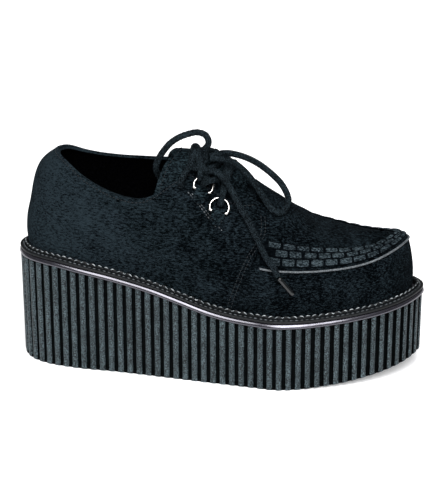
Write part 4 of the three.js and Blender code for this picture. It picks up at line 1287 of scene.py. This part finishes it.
# %% Seam of the apron
APRON_START = 0.625
PIPING_RADIUS = 0.68
BAND_MARGIN = 1.3
BAND_WIDTH = 8.6
BAND_WALL = 1.2


def seam_places(t):
    """Shares and sides along the seam, from the outer facing round the toe to the inner one."""
    share = 1 - (1 - APRON_START) * (1 - np.cos(np.abs(2 * t - 1) * math.pi / 2))
    return share, np.where(t <= 0.5, OUTER, INNER)


def pick_side(function, share, level, side):
    """Values on whichever side each point is on."""
    outer, inner = (function(share, level, one) for one in (OUTER, INNER))
    return np.where((side == OUTER)[..., None], outer, inner)


def seam_point(t, distance, height):
    """A point on the form at a distance inside the seam, seen from above, and the way out of it."""
    t = np.asarray(t, float)
    share, side = seam_places(t)
    steps = np.linspace(0, 1.3, 66)
    grid_share = np.repeat(share[:, None], len(steps), axis=1)
    grid_side = np.repeat(side[:, None], len(steps), axis=1)
    p = pick_side(last_point, grid_share, SHOULDER + steps[None, :] + 0 * grid_share, grid_side)
    away = np.linalg.norm(p[..., :2] - p[:, :1, :2], axis=-1)
    away = np.maximum.accumulate(away, axis=1)
    wanted = np.broadcast_to(distance, t.shape)
    level = SHOULDER + np.array([np.interp(d, row, steps) for d, row in zip(wanted, away)])
    point = pick_side(last_point, share, level, side)
    out = pick_side(last_out, share, level, side)
    return point + out * np.broadcast_to(height, t.shape)[..., None], out


seam_t = np.linspace(0, 1, 361)
piping_line, _ = seam_point(seam_t, 0.0, PIPING_RADIUS - 0.1)
piping_line = spaced(piping_line, 0.9)
tube("apron_piping_cord", piping_line, PIPING_RADIUS, 12, piping_cloth, ["apron_piping"])
print("piping length:", round(arc_length(piping_line)[-1]), "mm")

# %% [markdown]
# ## Woven band
# Beside the piping runs the woven band, the mark of a creeper: strips of suede passed through
# slits, which show as three rows of short padded blocks with dark slits between. The band is a thin
# sheet on the form, painted darker than the suede as painted shade in the slits, and each block is a
# low dome that follows the curve of the toe, painted lighter as painted light on its top. The blocks
# are a little uneven, as hand work is. Whole strips could be woven, but only the blocks would show.

# %% Woven band
BAND_ACROSS = 9
BAND_CROWN = 0.05
BAND_SHEET = BAND_WALL - 0.35
band_t = np.linspace(0, 1, 241)
band_lines = []
for share in np.linspace(0, 1, BAND_ACROSS):
    height = GAP + BAND_CROWN * math.sin(math.pi * share)
    band_lines.append(seam_point(band_t, BAND_MARGIN + BAND_WIDTH * share, height)[0])
band_points = np.stack(band_lines, axis=1).reshape(-1, 3)
band_faces = grid_faces(len(band_t), BAND_ACROSS)
band = weld(add_piece("woven_band_base", band_points, band_faces, suede_band_painted_shade, ["woven_band"]))


def faces_up(piece):
    """Whether most faces of a sheet look upwards."""
    bpy.context.view_layer.update()
    return sum(face.normal.z for face in piece.data.polygons) > 0


thicken(band, BAND_SHEET, 1 if faces_up(band) else -1, edge=0.3)

STRIP_PITCH = 9.4
STRIP_LENGTH = 8.8
STRIP_ROWS = 3
STRIP_FOOT = GAP + BAND_WALL - 0.75
STRIP_DOME = 1.05
STRIP_ACROSS = 9
STRIP_ALONG = 13
STRIP_HALF = 0.47
seam_line, _ = seam_point(seam_t, BAND_MARGIN + BAND_WIDTH / 2, 0)
seam_along = arc_length(seam_line)
row_pitch = BAND_WIDTH / STRIP_ROWS
across_dome = np.linspace(-1, 1, STRIP_ACROSS)
along_dome = np.linspace(-1, 1, STRIP_ALONG)
block_points = []
block_faces = []
hand = np.random.default_rng(7)
for row in range(STRIP_ROWS):
    centre = BAND_MARGIN + (row + 0.5) * row_pitch
    for k in range(int(seam_along[-1] / STRIP_PITCH) - 1):
        middle = (k + 1.0 + 0.5 * (row % 2)) * STRIP_PITCH + hand.normal(0, 0.25)
        half_wide = row_pitch * (STRIP_HALF + hand.normal(0, 0.015))
        t_at = np.interp(middle + along_dome * STRIP_LENGTH / 2, seam_along, seam_t)
        block_faces += grid_faces(STRIP_ACROSS, STRIP_ALONG, len(block_points), flip=True)
        for v in across_dome:
            dome = (1 - np.abs(along_dome) ** 3) * (1 - abs(v) ** 3)
            line, _ = seam_point(t_at, centre + v * half_wide, STRIP_FOOT + STRIP_DOME * dome**0.6)
            block_points += list(line)
blocks = add_piece("woven_band_strips", block_points, block_faces, suede_strip_painted_light)
if not faces_up(blocks):
    blocks.data.flip_normals()
print("blocks of the weave:", len(block_points) // (STRIP_ACROSS * STRIP_ALONG))

# %% [markdown]
# ## Rings and tabs
# Four rings carry the lace. Each is a bent wire with one straight side, and that side is held in
# a folded tab of suede stitched to the quarter. The wire is swept along a flattened circle, a
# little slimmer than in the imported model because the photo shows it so, and the tab is a strip
# folded round the bar, with rounded corners at its sewn end.

# %% Rings and tabs
RING_WIDTH = 14.5
RING_WIRE = 2.0
RING_STAND = 4.4
RING_SLIM = 0.44
TAB_WALL = 1.1
TAB_WIDTH = 8.6
TAB_LENGTH = 9.0
RING_RADIUS = (RING_WIDTH - RING_WIRE) / 2
BAR_DROP = RING_RADIUS * 0.45
RING_PLACES = {"top": (0.448, 3.22), "lower": (0.503, 2.985)}


def seat_on_last(name, side):
    """Middle of a ring's place on the last, and its across, up and out directions."""
    share, level = RING_PLACES[name]
    step = 0.01
    point = last_point(share, level, side)
    up = unit(last_point(share, level + step, side) - point)
    along = unit(last_point(share + step, level, side) - point)
    out = unit(np.cross(along, up) * -side)
    return point, np.cross(up, out), up, out


def ring_line():
    """The bent wire seen from the front, with its bend smoothed at both ends of the bar."""
    turn = 2 * math.pi * all_round(96)
    x = RING_RADIUS * np.cos(turn)
    y = np.maximum(RING_RADIUS * np.sin(turn), -BAR_DROP)
    closed = np.column_stack([x, y, 0 * x])
    return (np.roll(closed, 1, axis=0) + closed * 2 + np.roll(closed, -1, axis=0)) / 4


def tab_section():
    """The folded strip seen from its edge: (up, out) pairs round both layers."""
    hole = RING_WIRE / 2 + GAP
    outside = hole + TAB_WALL
    fold = np.radians(np.linspace(-90, 90, 13))
    outer = [(outside * math.cos(t), outside * math.sin(t)) for t in fold]
    sewn_end = [(-4.2, outside * 0.72), (-TAB_LENGTH + 1.5, GAP + 0.3), (-TAB_LENGTH, GAP)]
    return [(-TAB_LENGTH, -outside), *outer, *sewn_end]


TAB_CORNER = 3.2


def tab_mesh(point, across, up, out):
    """The folded strip swept across, with a slimmer fold and rounded corners at its sides."""
    section = tab_section()
    steps = np.linspace(-1, 1, 13)
    points = []
    for s in steps:
        corner = -TAB_LENGTH + 3.0 * max(0.0, abs(s) - 0.35) ** 2 / 0.42
        for rise, stand in section:
            near_end = rise < -TAB_LENGTH + TAB_CORNER
            rise_at = max(rise, corner) if near_end else rise * (1 - 0.1 * abs(s) ** 4)
            stand_at = RING_STAND + stand * (1 - 0.16 * abs(s) ** 6)
            points.append(point + across * s * TAB_WIDTH / 2 + up * (rise_at - BAR_DROP) + out * stand_at)
    return points, sweep_faces(len(steps), len(section))


TAB_SEAM = 0.72
tab_rows = []
for name in RING_PLACES:
    for side, word in ((OUTER, "outer"), (INNER, "inner")):
        point, across, up, out = seat_on_last(name, side)
        bend = ring_line()
        line = point + bend[:, :1] * across + bend[:, 1:2] * up + RING_STAND * out
        node = f"ring_{name}_{word}"
        tube(f"nickel_{node}", line, RING_WIRE * RING_SLIM, 14, nickel, [node], closed=True)
        points, faces = tab_mesh(point, across, up, out)
        node = f"tab_{name}_{word}"
        tab = weld(add_piece(f"suede_{node}", points, faces, suede_tongue, [node]))
        round_edges(tab, 0.3, 50)
        for s in (-TAB_SEAM, TAB_SEAM):
            climb = np.linspace(-TAB_LENGTH + 1.8, -3.6, 12)
            stand = np.interp(climb, [-TAB_LENGTH, -4.2, -3], [0.45, 1.75, 2.0])
            row = point + across * s * TAB_WIDTH / 2 + (climb - BAR_DROP)[:, None] * up
            tab_rows.append((row + (RING_STAND + stand)[:, None] * out, np.tile(out, (len(climb), 1))))
stitch_rows("tab_stitches", tab_rows, thread, length=1.5, pitch=2.1, radius=0.22)
print("rings and tabs:", 2 * len(RING_PLACES))

# %% [markdown]
# ## Lace
# The lace is a 4 mm round braid. Its strands cross in both directions, which gives the small
# diamonds on its surface, so the sweep's radius is waved along two families of spirals. Real
# strands could be plaited, but they would need many more faces for the same look. The lace bars
# across between the lower rings, crosses to the top ones, and is tied in a bow: a knot, one tall
# loop, one long loop, and two ends with hard tips. The lines follow the CAD's points, a few
# millimetres lower where the photo shows them so.

# %% Braided lace
LACE = 4.0
BRAID_SIDES = 32
BRAID_STRANDS = 6
BRAID_STEP = 0.4
BRAID_SLANT = 0.72
BRAID_CORE = 0.92
BRAID_RELIEF = 0.16


def braid(name, points, replaces=(), closed=False):
    """A braided tube along a line. Returns the piece and the line that it follows."""
    if closed:
        dense = closed_curve(points, 30)
        line = spaced(np.vstack([dense, dense[:1]]), BRAID_STEP)[:-1]
    else:
        line = open_curve(points, BRAID_STEP)
    along = np.arange(len(line)) * BRAID_STEP
    turn = np.linspace(0, 2 * math.pi, BRAID_SIDES, endpoint=False)
    wind = along[:, None] * BRAID_STRANDS / (LACE / 2) * BRAID_SLANT
    strands = BRAID_STRANDS * turn[None, :]
    relief = np.maximum(np.cos(strands + wind), np.cos(strands - wind))
    radius = LACE / 2 * (BRAID_CORE + BRAID_RELIEF * relief)
    return tube(name, line, radius, BRAID_SIDES, lace_cloth, replaces, closed), line


LOOP_REAR = [
    (-9.4, -10.2, 152.4), (-6.4, -10.2, 157.3), (-8.2, -10.5, 162.6), (-13.6, -11, 164.6),
    (-19.4, -12, 163.6), (-25.4, -13, 161.3), (-30.8, -14, 157.6), (-35.5, -14, 151.8),
    (-39.2, -13, 145.2), (-41, -11, 139.4), (-40.4, -7, 133.3), (-37.5, -4, 126.8), (-33.2, -2, 120.6),
]  # fmt: skip
LOOP_FRONT = [
    (-5.9, -8.4, 147.6), (3.5, -4, 148.7), (13.6, -1, 146.2), (23.6, 1, 141.2), (33.6, 1, 133.9),
    (41.0, -1, 126.9), (45.2, -2, 117.8), (44.4, -7, 114.3), (42.1, -12, 112.2), (38.9, -15, 112.9),
    (34.3, -14.5, 116.5), (28.9, -13, 124.1), (22.1, -10.9, 133.4), (15.4, -9.9, 140.4),
    (7.6, -10.9, 145.9), (-5.3, -12, 147.4),
]  # fmt: skip
END_OUTER = [
    (-10.2, -18.9, 145.2), (-6.3, -22.9, 143), (-1.5, -24, 143.3), (2.2, -24.3, 141.5),
    (6.5, -23.9, 136.4), (9.6, -23.8, 131.3), (12.2, -24.4, 126.6), (17.9, -27.4, 117.3),
    (21.9, -29.5, 111.3), (28.5, -35.5, 101.5), (34.7, -40, 91), (40.1, -43, 84.9), (42.8, -44, 79.8),
]  # fmt: skip
END_INNER = [
    (-14, -3, 149.2), (-15.5, 3, 149.2), (-17.5, 9, 148), (-19.5, 15.2, 144.9), (-21, 21, 137),
    (-21.5, 25.5, 127.8), (-21.5, 28.6, 118), (-21.2, 30.7, 107.5), (-20.8, 32.1, 97), (-20.4, 33, 87),
]  # fmt: skip
AGLET_LENGTH = 15.0
AGLET_RADIUS = 1.6


TIP_SIDES = 16
TIP_SHAPE = [
    (0, 0.86), (0.4, 1), (3, 1), (8, 0.97), (12.5, 0.95), (14.2, 0.85), (14.8, 0.6), (AGLET_LENGTH, 0.25),
]  # fmt: skip


def tip_of_lace(name, end, heading, replaces):
    """The hard tip: a narrow sleeve with a rounded end."""
    along = unit(np.array(heading, float))
    line = np.array([np.array(end) + along * (3 * GAP + d) for d, _ in TIP_SHAPE])
    radius = np.array([[AGLET_RADIUS * r] * TIP_SIDES for _, r in TIP_SHAPE])
    return tube(name, line, radius, TIP_SIDES, tip_plastic, replaces)


ROUTES = [
    ("braid_loop_rear", LOOP_REAR, "lace_loop_rear", None),
    ("braid_loop_front", LOOP_FRONT, "lace_loop_front", None),
    ("braid_end_outer", END_OUTER, "lace_end_outer", ("aglet_outer", (10.5, 0, -12.7))),
    ("braid_end_inner", END_INNER, "lace_end_inner", ("aglet_inner", (0.4, 0.6, -10))),
]
for name, points, node, tip in ROUTES:
    piece, line = braid(name, points, [node])
    tips = [tip_of_lace(f"tip_{tip[0]}", points[-1], tip[1], [tip[0]])] if tip else []
    tuple(line[0] * METRE)
    [tuple(p) for p in line[::4] * METRE] + [tuple(line[-1] * METRE)]

# %% [markdown]
# ## Knot and crossings
# The knot is a short length of lace wound over itself, drawn as a small closed winding that fills
# the CAD's knot. The bars between the rings come up through each ring, over its wire and across the
# tongue. Five short strands finish it: a tie from each top ring up into the knot, one that runs
# down the tongue, a lobe of the knot, and one beside the outer top ring.

# %% Knot and crossings
KNOT_CENTRE = np.array([-13.3, -10.5, 147.3])
KNOT_RADII = np.array([4.4, 3.6, 4.6])
knot_turn = 2 * math.pi * all_round(24)
knot_shape = np.column_stack(
    [
        np.sin(knot_turn) + 0.9 * np.sin(2 * knot_turn),
        np.cos(knot_turn) - 0.9 * np.cos(2 * knot_turn),
        -1.0 * np.sin(3 * knot_turn),
    ]
)
knot_shape /= np.abs(knot_shape).max(axis=0)
braid("braid_knot", KNOT_CENTRE + knot_shape * KNOT_RADII, ["lace_knot"], closed=True)

OVER_WIRE = RING_STAND + (RING_WIRE + LACE) / 2 + 2 * GAP
HOLE_MIDDLE = (RING_RADIUS - BAR_DROP) / 2 + (TAB_WALL + GAP) / 2
LACE_LEVEL = 3.72
LACE_LIFT = 0.9
LACE_CREST = 0.1


def lace_entry(name, side):
    point, _, up, out = seat_on_last(name, side)
    places = [(HOLE_MIDDLE, RING_STAND), (HOLE_MIDDLE, OVER_WIRE), (RING_RADIUS + LACE / 2, OVER_WIRE + GAP)]
    return [point + up * rise + out * stand for rise, stand in places]


def lace_bar(start, end):
    crossing = (RING_PLACES[start[0]][0] + RING_PLACES[end[0]][0]) / 2
    near = on_last((RING_PLACES[start[0]][0] + crossing) / 2, LACE_LEVEL, start[1], LACE_LIFT)
    top = on_last(crossing, RIDGE, OUTER, LACE_CREST)
    far = on_last((RING_PLACES[end[0]][0] + crossing) / 2, LACE_LEVEL, end[1], LACE_LIFT)
    return [*lace_entry(*start), near, top, far, *lace_entry(*end)[::-1]]


bars = [
    ("lower_bar", ("lower", OUTER), ("lower", INNER)),
    ("crossing_up", ("lower", OUTER), ("top", INNER)),
    ("crossing_down", ("top", OUTER), ("lower", INNER)),
]
for index, (name, start, end) in enumerate(bars):
    braid(f"braid_{name}", lace_bar(start, end), ["lace_crossings"] if index == 0 else [])

TIES = {
    "tie_outer": [
        (-10.4, -20.6, 136), (-10.2, -22.6, 139.4), (-10.3, -20.5, 143), (-11.2, -16.4, 146.6),
        (-12, -11, 149),
    ],
    "tie_inner": [(-7.6, 22.6, 133.8), (-7, 21.6, 139), (-8.2, 11, 144.6), (-9.4, 1, 147.4), (-11, -6, 147)],
    "tie_tongue": [
        (-12, -11, 149.2), (-15.5, -14.6, 147.4), (-17.6, -18.6, 144), (-19.6, -21.6, 141),
        (-21.4, -23.4, 138), (-22.7, -23.6, 134.6), (-23, -22, 131),
    ],
    "knot_lobe": [
        (-10, -9, 151.5), (-13.8, -13, 151.8), (-16.6, -15.6, 148.8), (-16.8, -17.6, 145.2),
        (-14.2, -18.4, 142.8), (-11.2, -18.9, 143.6), (-9.4, -19.4, 145.2),
    ],
    "ring_side": [
        (-8.4, -21.6, 132.4), (-7.4, -24.8, 135.2), (-4.2, -26, 136.9), (-1, -24, 137.3), (1.5, -19, 136),
    ],
}  # fmt: skip
for name, points in TIES.items():
    braid(f"braid_{name}", points)
print("lace pieces:", sum(o.name.startswith("braid_") for o in scene_objects))

# %% [markdown]
# ## Floor, light and world
# The photo is a cut-out on white, lit broadly from above its outer side. A sun as wide as an
# overcast sky gives that light, and a tall narrow panel in front draws the bright line along the
# rim. The world is a dim even white, and the pale floor glows a little so that it stays as light as
# paper under the shoe.

# %% Floor, light and world
floor_mesh = bpy.data.meshes.new("floor")
FLOOR_REACH = 6.0
floor_corners = [(x * FLOOR_REACH, y * FLOOR_REACH, 0) for x, y in ((-1, -1), (1, -1), (1, 1), (-1, 1))]
floor_mesh.from_pydata(floor_corners, [], [(0, 1, 2, 3)])
floor = bpy.data.objects.new("floor", floor_mesh)
scene_objects.link(floor)
pale = Finish("pale_floor", Roughness=0.9, Emission_Strength=0.32)
paper = pale.noise(40, 2, 0.5)
paper_colour = pale.blend(paper, (0.86, 0.86, 0.865), (0.9, 0.9, 0.9))
pale.feed(Base_Color=paper_colour, Emission_Color=paper_colour)
floor_mesh.materials.append(pale.material)


def add_light(name, kind, power, colour, place, aim, **shape):
    """A lamp at a place, turned to its aim. A sun shines from that way all over."""
    lamp = bpy.data.lights.new(name, kind)
    lamp.energy = power
    lamp.color = colour
    for setting, value in shape.items():
        setattr(lamp, setting, value)
    light = bpy.data.objects.new(name, lamp)
    light.location = place
    light.rotation_euler = (Vector(aim) - Vector(place)).to_track_quat("-Z", "Y").to_euler()
    scene_objects.link(light)


SUN_SPREAD = math.radians(40)
PANEL = {"shape": "RECTANGLE", "size": 0.5, "size_y": 2.0}
add_light("key", "SUN", 3.4, (1.0, 0.995, 0.98), (0.05, -0.72, 0.72), (0, 0, 0), angle=SUN_SPREAD)
add_light("arch", "AREA", 26, (0.95, 0.95, 1.0), (0.24, -0.95, 1.3), (0, 0, 0.06), **PANEL)

world = bpy.data.worlds.new("studio")
world.use_nodes = True
backdrop = world.node_tree.nodes["Background"]
backdrop.inputs["Color"].default_value = (1.0, 1.0, 1.0, 1)
backdrop.inputs["Strength"].default_value = 0.2
bpy.context.scene.world = world
bpy.context.scene.view_settings.view_transform = "Standard"
print("lights:", sum(o.type == "LIGHT" for o in scene_objects))
